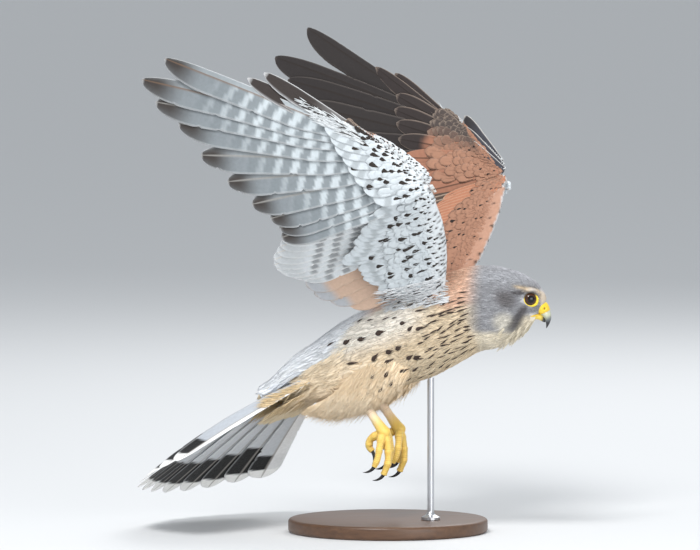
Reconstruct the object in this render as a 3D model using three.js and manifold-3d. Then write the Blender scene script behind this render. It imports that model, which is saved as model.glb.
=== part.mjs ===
// A male common kestrel, life size, braking in the air with its wings swept up and back.
// It is held over a round base by one rod.
// Millimetres, +Z up. The origin is the middle of the base's underside.
// +X is the way the head points, and the bird's left wing is the one on the +Y side.

import * as THREE from "three";
import { mergeVertices } from "three/addons/utils/BufferGeometryUtils.js";
import Module from "manifold-3d";

const wasm = await Module();
wasm.setup();

// Clearance between one sub-part and the next.
const GAP = 0.3;

// Attitude of the trunk, in degrees: turned towards -Y, and nose up.
const TRUNK_YAW = 22;
const TRUNK_PITCH = 20;
// The point midway between the shoulder joints.
const SHOULDERS = [51.8, -22, 187.5];

// Trunk, neck and head as sections from the forehead to the root of the tail. Each has its centre,
// its half height and half width, how far its top leans forward, its yaw and its roll.
const SECTIONS = [
  { at: [114.6, -34.2, 170.4], high: 6.4, wide: 4.5, lean: 24, yaw: 0, roll: 0 },
  { at: [111.0, -34.2, 169.6], high: 12.8, wide: 8.6, lean: 20, yaw: 0, roll: 0 },
  { at: [105.2, -34.0, 169.4], high: 19.0, wide: 13.0, lean: 13, yaw: 0, roll: 0 },
  { at: [95.5, -33.0, 169.4], high: 25.4, wide: 16.6, lean: 6.5, yaw: 0, roll: 0 },
  { at: [81.8, -31.0, 168.9], high: 30.2, wide: 19.0, lean: 2, yaw: 4, roll: 0 },
  { at: [66.2, -27.0, 167.4], high: 33.2, wide: 22.0, lean: -0.6, yaw: 12, roll: 0 },
  { at: [52.2, -22.0, 161.2], high: 36.9, wide: 27.0, lean: 4, yaw: 20, roll: 0 },
  { at: [30.3, -13.3, 151.8], high: 38.1, wide: 30.0, lean: 1, yaw: 22, roll: 0 },
  { at: [8.1, -4.3, 142.7], high: 35.5, wide: 28.0, lean: 1, yaw: 22, roll: 0 },
  { at: [-13.2, 4.0, 134.8], high: 33.0, wide: 23.0, lean: -1, yaw: 22, roll: 0 },
  { at: [-34.6, 12.8, 125.0], high: 29.6, wide: 18.5, lean: -4, yaw: 20, roll: 0 },
  { at: [-51.2, 18.6, 117.4], high: 24.4, wide: 15.5, lean: -7, yaw: 14, roll: 5 },
  { at: [-67.0, 22.4, 111.6], high: 18.4, wide: 13.5, lean: -14, yaw: 11, roll: 10 },
  { at: [-92.0, 27.4, 98.6], high: 4.5, wide: 13.0, lean: -24, yaw: 11, roll: 10 },
];
// Where the neck begins and ends and where the tail begins, counted in sections.
const NECK_FROM = 4.5;
const NECK_TO = 6.1;
const TAIL_FROM = 11.0;
const BODY_AROUND = 24;

// Eyes, measured from the middle plane of the head.
const HEAD_MIDDLE = -34;
const EYE_AT = [103.7, 175.8];
const EYE_SIDE = 9.4;
const EYE_RADIUS = 5.6;
const EYE_TURN = 14;
const LID_RADIUS = 5.5;
const LID_TUBE = 1.1;
const LID_OUT = 3.2;

// Wing bones, from the midpoint of the shoulders: forward, outward and up along the trunk's axes.
const SHOULDER_OUT = 22;
const ELBOW = [-12.8, 53.5, 36.7];
const WRIST = [32, 76.5, 63.5];
const HAND_AXIS = [-20.5, 13, 40.5];
// The plane of the hand holds the line straight back from the wrist and the line that the
// primaries open towards.
const BACKWARD = [-0.972, 0.15, 0.18];
const ARM_NORMAL = [0, -0.759, 0.651];
const HAND_NORMAL = [-0.098, -0.9575, 0.2715];

// Flight feathers, numbered outwards from the wrist for the primaries and inwards for the rest.
// The left hand is opened a little wider than the right.
const PRIMARY_LENGTH = {
  left: [114, 110, 111, 118, 129, 143, 158, 174, 187, 166],
  right: [114, 110, 111, 118, 129, 143, 156, 170, 178, 161],
};
const PRIMARY_ANGLE = {
  left: [-10.5, -9.5, -7.5, -3, 4, 11.5, 19.5, 23.6, 26.9, 36.4],
  right: [-10.5, -9.5, -7.5, -3, 4, 11, 18.3, 21.7, 25.5, 31.8],
};
const PRIMARY_LEAD = [9, 9, 9, 9, 9, 8.5, 8, 7, 5.5, 4];
const PRIMARY_TRAIL = [12, 12, 12.5, 13, 13, 13.5, 14, 14, 14, 14];
const SECONDARY_LENGTH = [117, 117, 117, 118, 119, 117, 113, 107, 98, 88];
const SECONDARY_ANGLE = [5, 5, 4.6, 4, 3.4, 2.8, 2.4, 2, 1.4, 0];
const TERTIAL_LENGTH = [86, 87, 82, 74];
const TERTIAL_ANGLE = [-3, -3.6, -4.6, -5];
const HAND_COVERT_LENGTH = {
  left: [70, 71, 73, 75, 77, 78, 79, 78, 101, 78],
  right: [70, 71, 73, 75, 77, 78, 79, 78, 108, 94],
};
const HAND_COVERT_ANGLE = {
  left: [-4, -1, 3, 9, 17, 23, 28, 34, 40, 43],
  right: [-4, -1, 3, 9, 17, 23, 28, 33, 38, 43],
};
const ALULA_LENGTH = [44, 49, 51];
const ALULA_ANGLE = [40, 45.6, 52];
const VANE_THICK = 0.52;

// Tail: the point its feathers fan from, the attitude of the fan, and the feathers from the
// middle pair outwards.
const TAIL_AT = [-46.4, 17.7, 116.0];
const TAIL_YAW = 11;
const TAIL_PITCH = 33.4;
const TAIL_ROLL = 10;
const TAIL_LENGTH = [163, 163, 161, 158, 153, 150];
const TAIL_SPREAD = 44.5;
const TAIL_ARCH = 6.5;
// Roots of the tail feathers: how far apart they sit, how high the middle pair lies above the
// point they fan from, and how far the outermost lie below the middle pair.
const TAIL_ROOT_STEP = 2.2;
const TAIL_ROOT_RAISE = 7;
const TAIL_ROOT_FALL = 4;

// Legs, in the trunk's axes from the midpoint of the shoulders.
const LEG_SIDE = 15;
const TARSUS_RADIUS = 3.4;

// Display stand.
const BASE_RADIUS = 74;
const BASE_THICK = 10;
const ROD_RADIUS = 2.5;
const ROD_AT = [31.6, -13.9];

const radians = THREE.MathUtils.degToRad;
const vec = (x, y, z) => new THREE.Vector3(x, y, z);

// The point a distance along a direction from another point, for any number of directions.
function move(point, ...steps) {
  const moved = point.clone();
  for (const [direction, distance] of steps) {
    moved.addScaledVector(direction, distance);
  }
  return moved;
}

// Forward, left and up vectors for a yaw towards -Y, a nose-up pitch and a roll to the left.
function attitude(yawDegrees, pitchDegrees, rollDegrees) {
  const yaw = radians(yawDegrees);
  const pitch = radians(pitchDegrees);
  const roll = radians(rollDegrees);
  const forward = vec(
    Math.cos(pitch) * Math.cos(yaw),
    -Math.cos(pitch) * Math.sin(yaw),
    Math.sin(pitch),
  );
  const level = vec(Math.sin(yaw), Math.cos(yaw), 0);
  const lift = forward.clone().cross(level);
  const left = level.clone().multiplyScalar(Math.cos(roll)).addScaledVector(lift, -Math.sin(roll));
  const up = lift.clone().multiplyScalar(Math.cos(roll)).addScaledVector(level, Math.sin(roll));
  return { forward, left, up };
}

const trunk = attitude(TRUNK_YAW, TRUNK_PITCH, 0);

// A point given forward, to one side and up from the midpoint of the shoulders.
function inTrunk([forward, out, up], side) {
  const { forward: ahead, left, up: lift } = trunk;
  return move(vec(...SHOULDERS), [ahead, forward], [left, out * side], [lift, up]);
}

function alongTrunk([forward, out, up], side) {
  return move(vec(0, 0, 0), [trunk.forward, forward], [trunk.left, out * side], [trunk.up, up]).normalize();
}

// Closed solids

function solidOf(geometry) {
  geometry.deleteAttribute("normal");
  geometry.deleteAttribute("uv");
  const welded = mergeVertices(geometry, 1e-4);
  const places = Float32Array.from(welded.attributes.position.array);
  const faces = Uint32Array.from(welded.index.array);
  const [a, b, c] = [vec(0, 0, 0), vec(0, 0, 0), vec(0, 0, 0)];
  let volume = 0;
  for (let i = 0; i < faces.length; i += 3) {
    a.fromArray(places, faces[i] * 3);
    b.fromArray(places, faces[i + 1] * 3);
    c.fromArray(places, faces[i + 2] * 3);
    volume += a.dot(b.cross(c));
  }
  if (volume < 0) {
    for (let i = 0; i < faces.length; i += 3) {
      [faces[i], faces[i + 1]] = [faces[i + 1], faces[i]];
    }
  }
  return new wasm.Manifold(new wasm.Mesh({ numProp: 3, vertProperties: places, triVerts: faces }));
}

function solidFrom(points, faces) {
  const geometry = new THREE.BufferGeometry();
  geometry.setAttribute("position", new THREE.Float32BufferAttribute(points.flatMap((p) => p.toArray()), 3));
  geometry.setIndex(faces);
  return solidOf(geometry);
}

// A skin over rings of the same number of points, closed by a fan at each end.
function loft(rings) {
  const count = rings[0].length;
  const points = rings.flat();
  const faces = [];
  for (let k = 0; k + 1 < rings.length; k += 1) {
    for (let i = 0; i < count; i += 1) {
      const j = (i + 1) % count;
      const [a, b] = [k * count + i, k * count + j];
      faces.push(a, b, b + count, a, b + count, a + count);
    }
  }
  for (const [ring, turned] of [[0, false], [rings.length - 1, true]]) {
    const hub = points.length;
    const centre = rings[ring].reduce((sum, p) => sum.add(p), vec(0, 0, 0)).divideScalar(count);
    points.push(centre);
    for (let i = 0; i < count; i += 1) {
      const [a, b] = [ring * count + i, ring * count + ((i + 1) % count)];
      faces.push(...(turned ? [hub, a, b] : [hub, b, a]));
    }
  }
  return solidFrom(points, faces);
}

// An oval ring. Keel narrows its lower half and front thickens the side that "across" points to.
function oval({ centre, across, up, wide, high, around, keel = 0, front = 0 }) {
  return Array.from({ length: around }, (_, i) => {
    const turn = (2 * Math.PI * i) / around;
    const [x, z] = [Math.cos(turn), Math.sin(turn)];
    return move(centre, [across, wide * x * (1 + keel * z)], [up, high * z * (1 + front * x)]);
  });
}

// A round-sectioned bar along a few points, with a radius at each.
function limb(points, radii, around, grow = 0) {
  const side = vec(0, 1, 0);
  const rings = points.map((point, i) => {
    const before = points[Math.max(i - 1, 0)];
    const after = points[Math.min(i + 1, points.length - 1)];
    const ahead = after.clone().sub(before).normalize();
    const up = side.clone().cross(ahead).normalize();
    const across = ahead.clone().cross(up);
    return oval({ centre: point, across, up, wide: radii[i] + grow, high: radii[i] + grow, around });
  });
  return loft(rings);
}

const joined = (solids) => wasm.Manifold.union(solids);

function without(solid, ...cutters) {
  return cutters.reduce((left, cutter) => left.subtract(cutter), solid);
}

function largest(solid) {
  return solid.decompose().sort((a, b) => b.volume() - a.volume())[0];
}

// Feathers

// Outlines as pairs of place along the feather and share of the full width there.
const FLIGHT_OUTLINE = [[0, 0.28], [0.34, 0.94], [0.76, 1], [0.94, 0.66], [1, 0.2]];
const TAIL_OUTLINE = [[0, 0.16], [0.5, 0.74], [0.86, 1], [0.965, 0.74], [1, 0.26]];
const COVERT_OUTLINE = [[0, 0.5], [0.8, 1], [1, 0.3]];

// One feather is a thin flat vane. Its lead side is tipped up by tilt, its middle stands off the
// straight line from root to tip by arch, upwards, and bend, towards its lead side, and both faces
// are split the same way.
function vane(feather, grow) {
  const { root, along, leading, up, length, lead, trail, outline } = feather;
  const { tilt = 0, arch = 0, bend = 0, thick = VANE_THICK } = feather;
  const flat = move(leading, [along, -leading.dot(along)]).normalize();
  const lift = along.clone().cross(flat).normalize();
  if (lift.dot(up) < 0) {
    lift.negate();
  }
  const tipped = radians(tilt);
  const edge = move(vec(0, 0, 0), [flat, Math.cos(tipped)], [lift, Math.sin(tipped)]);
  const face = move(vec(0, 0, 0), [lift, Math.cos(tipped)], [flat, -Math.sin(tipped)]);
  const half = thick / 2 + grow;
  const points = [];
  for (const [k, [t, share]] of outline.entries()) {
    const past = k === 0 ? -grow : k === outline.length - 1 ? grow : 0;
    const bow = 4 * t * (1 - t);
    const middle = move(root, [along, t * length + past], [lift, arch * bow], [flat, bend * bow]);
    const front = move(middle, [edge, lead * share + grow]);
    const back = move(middle, [edge, -trail * share - grow]);
    points.push(move(front, [face, half]), move(back, [face, half]));
    points.push(move(front, [face, -half]), move(back, [face, -half]));
  }
  const faces = [0, 2, 3, 0, 3, 1];
  const last = (outline.length - 1) * 4;
  for (let k = 0; k < last; k += 4) {
    faces.push(k, k + 1, k + 5, k, k + 5, k + 4);
    faces.push(k + 2, k + 7, k + 3, k + 2, k + 6, k + 7);
    faces.push(k, k + 4, k + 6, k, k + 6, k + 2);
    faces.push(k + 1, k + 3, k + 7, k + 1, k + 7, k + 5);
  }
  faces.push(last, last + 3, last + 2, last, last + 1, last + 3);
  return solidFrom(points, faces);
}

const layer = (feathers, grow) => feathers.map((feather) => vane(feather, grow));

// Body

const centres = new THREE.CatmullRomCurve3(SECTIONS.map((s) => vec(...s.at)));
const sizes = new THREE.CatmullRomCurve3(SECTIONS.map((s) => vec(s.high, s.wide, s.lean)));
const turns = new THREE.CatmullRomCurve3(SECTIONS.map((s) => vec(s.yaw, s.roll, 0)));

function bodyRing(t, grow = 0) {
  const u = t / (SECTIONS.length - 1);
  const centre = centres.getPoint(u);
  const { x: high, y: wide, z: lean } = sizes.getPoint(u);
  const { x: yaw, y: roll } = turns.getPoint(u);
  const { left, up } = attitude(yaw, -lean, roll);
  const size = { wide: wide + grow, high: high + grow, around: BODY_AROUND, keel: 0.06 };
  return oval({ centre, across: left, up, ...size });
}

// The stretch of the body between two places counted in sections, each end drawn in or out.
function bodyBetween(from, to, steps, trim, grow = 0) {
  const span = centres.getPoint(to / (SECTIONS.length - 1)).distanceTo(centres.getPoint(from / (SECTIONS.length - 1)));
  const inset = (trim * (to - from)) / span;
  const rings = Array.from({ length: steps + 1 }, (_, i) => {
    const t = THREE.MathUtils.lerp(from + (from > 0 ? inset : 0), to - (to < SECTIONS.length - 1 ? inset : 0), i / steps);
    return bodyRing(t, grow);
  });
  return loft(rings);
}

const HALF_GAP = GAP / 2 + 0.03;
const plainHead = bodyBetween(0, NECK_FROM, 9, HALF_GAP);
const headClear = bodyBetween(0, NECK_FROM, 9, HALF_GAP, GAP);
const torsoClear = bodyBetween(NECK_TO, TAIL_FROM, 9, -HALF_GAP, GAP);
const neckClear = bodyBetween(NECK_FROM, NECK_TO, 4, -HALF_GAP, GAP);
const tailRootClear = bodyBetween(TAIL_FROM, SECTIONS.length - 1, 4, -HALF_GAP, GAP);

// Head, eyes and bill

// A point on the head from the eye's place: forward, up and out to one side.
function onHead([forward, up], out) {
  return vec(EYE_AT[0] + forward, HEAD_MIDDLE + out, EYE_AT[1] + up);
}

function eyeAxis(side) {
  return vec(Math.sin(radians(EYE_TURN)), side * Math.cos(radians(EYE_TURN)), 0);
}

function ball(centre, radius, round, high) {
  const geometry = new THREE.SphereGeometry(radius, round, high);
  geometry.rotateX(Math.PI / 2);
  geometry.translate(centre.x, centre.y, centre.z);
  return solidOf(geometry);
}

const eyeCentre = (side) => onHead([0, 0], side * EYE_SIDE);

function lidRing(side) {
  const geometry = new THREE.TorusGeometry(LID_RADIUS, LID_TUBE, 5, 16);
  geometry.applyQuaternion(new THREE.Quaternion().setFromUnitVectors(vec(0, 0, 1), eyeAxis(side)));
  const middle = move(eyeCentre(side), [eyeAxis(side), LID_OUT]);
  geometry.translate(middle.x, middle.y, middle.z);
  return solidOf(geometry);
}

// The bony ridge that shades the eye, from behind it to the lores.
function browRidge(side) {
  const spine = [[-8.5, 4.6], [-3, 6.6], [3.5, 6.4], [9, 3.6]];
  const outs = [12.2, 13.6, 12.6, 9.0];
  return limb(spine.map((p, i) => onHead(p, side * outs[i])), [1.0, 1.9, 1.9, 0.9], 7);
}

// The bill as rings between a point of its ridge and a point of its cutting edge.
function billRings(steps, grow, around) {
  return steps.map(({ top, low, wide }, i) => {
    const outward = i === 0 ? -1 : 1;
    const [high, deep] = [vec(top[0], 0, top[1]), vec(low[0], 0, low[1])];
    const up = high.clone().sub(deep).normalize();
    const ahead = vec(up.z, 0, -up.x);
    const middle = high.clone().add(deep).multiplyScalar(0.5);
    const centre = move(onHead([middle.x, middle.z], 0), [ahead, grow * outward]);
    const tall = high.distanceTo(deep) / 2 + grow;
    return oval({ centre, across: vec(0, 1, 0), up, wide: wide + grow, high: tall, around, keel: -0.12 });
  });
}

const CERE_STEPS = [
  { top: [8.9, -1.0], low: [-4.4, -11.8], wide: 8.2 },
  { top: [12.9, -3.3], low: [1.1, -11.6], wide: 7.4 },
  { top: [14.6, -5.9], low: [4.6, -11.6], wide: 6.4 },
  { top: [15.5, -8.5], low: [7.8, -12.3], wide: 5.4 },
];
const UPPER_STEPS = [
  { top: [14.6, -6.5], low: [5.1, -11.8], wide: 5.0 },
  { top: [15.7, -9.7], low: [9.0, -13.0], wide: 4.8 },
  { top: [16.3, -12.7], low: [11.0, -15.0], wide: 3.9 },
  { top: [16.2, -15.8], low: [12.0, -17.3], wide: 2.8 },
  { top: [15.0, -19.0], low: [12.5, -19.5], wide: 1.5 },
  { top: [13.1, -22.1], low: [12.6, -22.3], wide: 0.4 },
];
const LOWER_STEPS = [
  { top: [0.6, -9.5], low: [0.9, -16.4], wide: 6.2 },
  { top: [5.6, -10.0], low: [5.6, -15.8], wide: 5.0 },
  { top: [9.6, -11.0], low: [8.4, -16.6], wide: 3.8 },
  { top: [11.8, -14.0], low: [10.2, -17.6], wide: 2.2 },
  { top: [12.4, -17.0], low: [11.8, -18.0], wide: 0.5 },
];

const cereLoft = (grow) => loft(billRings(CERE_STEPS, grow, 14));
const upperLoft = (grow) => loft(billRings(UPPER_STEPS, grow, 12));
const lowerLoft = (grow) => loft(billRings(LOWER_STEPS, grow, 12));

// A thin wedge along the line of the mouth, from the bill back to under the eye.
function mouthLine(side) {
  const ends = [onHead([6.6, -12.0], side * 4), onHead([-3.6, -13.2], side * 11.5)];
  return limb([ends[0], ends[0].clone().lerp(ends[1], 0.5), ends[1]], [0.5, 0.6, 0.25], 6);
}

function nostril(side) {
  return ball(onHead([11.2, -7.3], side * 6.2), 1.0, 8, 6);
}

function headSolid() {
  const parts = [plainHead];
  for (const side of [1, -1]) {
    parts.push(lidRing(side), browRidge(side));
  }
  const cutters = [];
  for (const side of [1, -1]) {
    cutters.push(ball(eyeCentre(side), EYE_RADIUS + GAP, 14, 8), mouthLine(side));
  }
  return largest(without(joined(parts), ...cutters, neckClear));
}

// Wings

const armPlane = { forward: [1, 0, 0], span: [0, 0.651, 0.759] };

function mixed(a, b, share) {
  return a.map((value, i) => THREE.MathUtils.lerp(value, b[i], share));
}

// The line in the plane of the hand at an angle from straight back, opening towards the tip.
const backward = vec(...BACKWARD).normalize();
const handUp = vec(...HAND_NORMAL).normalize();
const opening = backward.clone().cross(handUp).normalize();
if (opening.z < 0) {
  opening.negate();
}

function inHand(degrees) {
  const turn = radians(degrees);
  return move(vec(0, 0, 0), [backward, Math.cos(turn)], [opening, Math.sin(turn)]).toArray();
}

function inArm(degrees) {
  const turn = radians(degrees);
  const { forward, span } = armPlane;
  return forward.map((value, i) => -Math.cos(turn) * value + Math.sin(turn) * span[i]);
}

const handAxis = vec(...HAND_AXIS).normalize().toArray();

function onHand(along, ahead = 0, up = 0) {
  const leading = inHand(142);
  return WRIST.map((value, i) => value + along * handAxis[i] + ahead * leading[i] + up * HAND_NORMAL[i]);
}

function onForearm(fromWrist, ahead = 0, up = 0) {
  const share = fromWrist / 57;
  const bone = mixed(WRIST, ELBOW, share);
  return bone.map((value, i) => value + ahead * armPlane.forward[i] + up * ARM_NORMAL[i]);
}

function onUpperArm(fromElbow, ahead = 0, up = 0) {
  const bone = mixed(ELBOW, [0, SHOULDER_OUT, 0], fromElbow / 50);
  return bone.map((value, i) => value + ahead * armPlane.forward[i] + up * ARM_NORMAL[i]);
}

// Sections of the fleshy arm and hand: the distance up the wing, where the front and back edges
// lie, and the thickness. The arm's run from the shoulder and the hand's from the wrist.
const ARM_SECTIONS = [
  { up: -12, front: -8, back: -44, thick: 13 },
  { up: 4, front: 2, back: -38, thick: 13 },
  { up: 22, front: 13, back: -32, thick: 12 },
  { up: 41, front: 22, back: -27, thick: 11.5 },
  { up: 58, front: 28, back: -15, thick: 11 },
  { up: 72, front: 31, back: 2, thick: 10.5 },
];
const HAND_SECTIONS = [
  { up: 13, turn: 162, front: 4, back: 17, thick: 9 },
  { up: 30, turn: 142, front: 4.5, back: 12, thick: 8.5 },
  { up: 48, turn: 142, front: 4, back: 8, thick: 7.2 },
  { up: 61, turn: 142, front: 2, back: 4, thick: 4.8 },
];
const WING_AROUND = 12;

function wristRing(side, shift, grow) {
  const normal = vec(...mixed(ARM_NORMAL, HAND_NORMAL, 0.5)).normalize();
  const split = backward.clone().cross(normal).normalize();
  if (split.z < 0) {
    split.negate();
  }
  const middle = move(vec(...WRIST), [backward, 8], [split, shift]);
  return oval({
    centre: inTrunk(middle.toArray(), side),
    across: alongTrunk(backward.clone().negate().toArray(), side),
    up: alongTrunk(normal.toArray(), side),
    wide: 10 + grow,
    high: 5.1 + grow,
    around: WING_AROUND,
    front: 0.3,
  });
}

function armCore(side, grow) {
  const rings = ARM_SECTIONS.map(({ up, front, back, thick }) => {
    const centre = armPlane.span.map((value, i) => value * up + ((front + back) / 2) * armPlane.forward[i]);
    centre[1] += SHOULDER_OUT;
    return oval({
      centre: inTrunk(centre, side),
      across: alongTrunk(armPlane.forward, side),
      up: alongTrunk(ARM_NORMAL, side),
      wide: (front - back) / 2 + grow,
      high: thick / 2 + grow,
      around: WING_AROUND,
      front: 0.3,
    });
  });
  return loft([...rings, wristRing(side, grow - HALF_GAP, grow)]);
}

function handCore(side, grow) {
  const rings = HAND_SECTIONS.map(({ up, turn, front, back, thick }) => {
    const ahead = inHand(turn);
    const centre = WRIST.map((v, i) => v + up * handAxis[i] + ((front - back) / 2) * ahead[i]);
    return oval({
      centre: inTrunk(centre, side),
      across: alongTrunk(ahead, side),
      up: alongTrunk(HAND_NORMAL, side),
      wide: (front + back) / 2 + grow,
      high: thick / 2 + grow,
      around: WING_AROUND,
      front: 0.3,
    });
  });
  return loft([wristRing(side, HALF_GAP - grow, grow), ...rings]);
}

// A feather of the wing, from its root, direction and normal in the trunk's axes.
function wingFeather(side, { root, along, normal, leading, ...shape }) {
  return {
    root: inTrunk(root, side),
    along: alongTrunk(along, side),
    leading: alongTrunk(leading, side),
    up: alongTrunk(normal, side),
    ...shape,
  };
}

const sideName = (side) => (side > 0 ? "left" : "right");

const spread = (count, from, to) => Array.from({ length: count }, (_, i) => THREE.MathUtils.lerp(from, to, i / (count - 1)));

// How far the plane of a feather near the wrist has turned from the arm's to the hand's.
const HAND_FOLD = [0.6, 0.75, 0.9];
const ARM_FOLD = [0.45, 0.3, 0.15];

function primaries(side) {
  const angles = PRIMARY_ANGLE[sideName(side)];
  return PRIMARY_LENGTH[sideName(side)].map((length, i) => wingFeather(side, {
    root: onHand(6 + (52 * i) / 9, -2),
    along: inHand(angles[i]),
    leading: inHand(angles[i] + 90),
    normal: mixed(ARM_NORMAL, HAND_NORMAL, HAND_FOLD[i] ?? 1),
    length,
    lead: PRIMARY_LEAD[i],
    trail: PRIMARY_TRAIL[i],
    outline: FLIGHT_OUTLINE,
    tilt: 11,
    arch: 2,
    bend: i > 6 && i < 9 ? 2.5 : 0,
  }));
}

function secondaries(side) {
  return SECONDARY_LENGTH.map((length, i) => wingFeather(side, {
    root: onForearm(4 + (49 * i) / 9, 2),
    along: inArm(SECONDARY_ANGLE[i]),
    leading: armPlane.span,
    normal: mixed(ARM_NORMAL, HAND_NORMAL, ARM_FOLD[i] ?? 0),
    length,
    lead: 9,
    trail: 12,
    outline: FLIGHT_OUTLINE,
    tilt: 10,
    arch: 2,
  }));
}

function tertials(side) {
  return TERTIAL_LENGTH.map((length, i) => wingFeather(side, {
    root: onUpperArm(3 + 9 * i, 2),
    along: inArm(TERTIAL_ANGLE[i]),
    leading: armPlane.span,
    normal: ARM_NORMAL,
    length,
    lead: 11,
    trail: 13,
    outline: FLIGHT_OUTLINE,
    tilt: 12,
    arch: 3,
  }));
}

// Greater coverts over and under the flight feathers. Face is 1 over the wing and -1 under it.
function handCoverts(side) {
  const angles = HAND_COVERT_ANGLE[sideName(side)];
  return HAND_COVERT_LENGTH[sideName(side)].map((length, i) => wingFeather(side, {
    root: onHand(6 + (49 * i) / 9, i > 7 ? -2 : 0, THREE.MathUtils.lerp(4.2, 2.6, i / 9)),
    along: inHand(angles[i]),
    leading: inHand(angles[i] + 90),
    normal: mixed(ARM_NORMAL, HAND_NORMAL, HAND_FOLD[i] ?? 1),
    length,
    lead: i > 7 ? 4.5 : 7,
    trail: 8,
    outline: COVERT_OUTLINE,
    tilt: 7,
  }));
}

function underHandCoverts(side) {
  return spread(4, 1, 7.5).map((i) => wingFeather(side, {
    root: onHand(7 + (49 * i) / 9, 0, THREE.MathUtils.lerp(-4.6, -3, i / 9)),
    along: inHand(THREE.MathUtils.lerp(-6, 30, i / 8)),
    leading: inHand(THREE.MathUtils.lerp(-6, 30, i / 8) + 90),
    normal: mixed(ARM_NORMAL, HAND_NORMAL, Math.min(1, 0.6 + 0.15 * i)),
    length: 54,
    lead: 11,
    trail: 13,
    outline: COVERT_OUTLINE,
    tilt: 7,
  }));
}

function armCoverts(side, face) {
  return spread(face > 0 ? 5 : 4, 7, 51).map((fromWrist) => wingFeather(side, {
    root: onForearm(fromWrist, 4, face * 4.4),
    along: inArm(3),
    leading: armPlane.span,
    normal: ARM_NORMAL,
    length: 52,
    lead: 9,
    trail: 10,
    outline: COVERT_OUTLINE,
    tilt: 8,
  }));
}

function innerCoverts(side, face) {
  return spread(2, 8, 30).map((fromElbow) => wingFeather(side, {
    root: onUpperArm(fromElbow, 4, face * 4.4),
    along: inArm(-2),
    leading: armPlane.span,
    normal: ARM_NORMAL,
    length: 46,
    lead: 11,
    trail: 12,
    outline: COVERT_OUTLINE,
    tilt: 6,
  }));
}

// The small feathers on the thumb, along the front of the hand.
function alula(side) {
  return ALULA_LENGTH.map((length, i) => wingFeather(side, {
    root: onHand(5 + 3.5 * i, 5 + i, 3.2 - 0.6 * i),
    along: inHand(ALULA_ANGLE[i]),
    leading: inHand(ALULA_ANGLE[i] + 90),
    normal: HAND_NORMAL,
    length,
    lead: 4.5,
    trail: 7,
    outline: COVERT_OUTLINE,
    tilt: 10,
    arch: 2.5,
    thick: 0.7,
  }));
}

function wingArm(side, grow) {
  const feathers = [...secondaries(side), ...tertials(side)];
  feathers.push(...armCoverts(side, 1), ...armCoverts(side, -1));
  feathers.push(...innerCoverts(side, 1), ...innerCoverts(side, -1));
  return joined([armCore(side, grow), ...layer(feathers, grow)]);
}

function wingHand(side) {
  const feathers = [...primaries(side), ...handCoverts(side), ...underHandCoverts(side), ...alula(side)];
  return joined([handCore(side, 0), ...layer(feathers, 0)]);
}

// Tail

const fan = attitude(TAIL_YAW, TAIL_PITCH, TAIL_ROLL);

// The direction at an angle from the middle line of the tail, on the side given.
function inTail(side, degrees) {
  const turn = radians(degrees);
  const fall = radians(TAIL_ARCH * (degrees / TAIL_SPREAD) ** 2);
  const level = move(vec(0, 0, 0), [fan.forward, -Math.cos(turn)], [fan.left, side * Math.sin(turn)]);
  return move(vec(0, 0, 0), [level, Math.cos(fall)], [fan.up, -Math.sin(fall)]);
}

// A tail feather from its root, given back, outward and up from where the fan starts, to its tip,
// given as an angle and a reach.
function tailFeather(side, { back, out, raise, degrees, reach, tipRaise = 0, ...shape }) {
  const start = vec(...TAIL_AT);
  const root = move(start, [fan.forward, -back], [fan.left, side * out], [fan.up, raise]);
  const along = move(start, [inTail(side, degrees), reach], [fan.up, tipRaise]).sub(root);
  const leading = inTail(side, degrees + 3).sub(inTail(side, degrees - 3)).normalize();
  const length = along.length();
  return { root, along: along.normalize(), leading, up: fan.up, length, ...shape };
}

function rectrices() {
  const feathers = [];
  for (const side of [1, -1]) {
    for (const [i, reach] of TAIL_LENGTH.entries()) {
      const share = i / (TAIL_LENGTH.length - 1);
      const top = i === 0 ? 0.8 + 0.9 * Math.max(side, 0) : 0;
      feathers.push(tailFeather(side, {
        back: 9,
        out: TAIL_ROOT_STEP * (i + 0.5),
        raise: TAIL_ROOT_RAISE + top - 0.85 * i - TAIL_ROOT_FALL * share ** 2,
        degrees: (TAIL_SPREAD * (i + 0.5)) / 5.5,
        reach,
        lead: 11 + share,
        trail: i === 0 ? 12 : 16,
        outline: TAIL_OUTLINE,
        tilt: i === 0 ? 1 : 3,
        arch: 2,
      }));
    }
  }
  return feathers;
}

// Coverts over the tail's root, where face is 1, and under it.
function tailCoverts(face) {
  return (face > 0 ? [-1, 0, 1] : [-1.5, -0.5, 0.5, 1.5]).map((i) => tailFeather(Math.sign(i) || 1, {
    back: 4,
    out: 4 * Math.abs(i),
    raise: face > 0 ? 13 - 1.5 * Math.abs(i) : -11 + Math.abs(i),
    tipRaise: face > 0 ? 5 : -5,
    degrees: (face > 0 ? 11 : 14) * Math.abs(i),
    reach: face > 0 ? 78 : 86,
    lead: 9,
    trail: 9,
    outline: COVERT_OUTLINE,
    tilt: 4,
    thick: 0.8,
  }));
}

function tailSolid() {
  const root = bodyBetween(TAIL_FROM, SECTIONS.length - 1, 4, HALF_GAP);
  const feathers = [...rectrices(), ...tailCoverts(1), ...tailCoverts(-1)];
  return largest(without(joined([root, ...layer(feathers, 0)]), torsoClear));
}

// Legs

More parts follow.
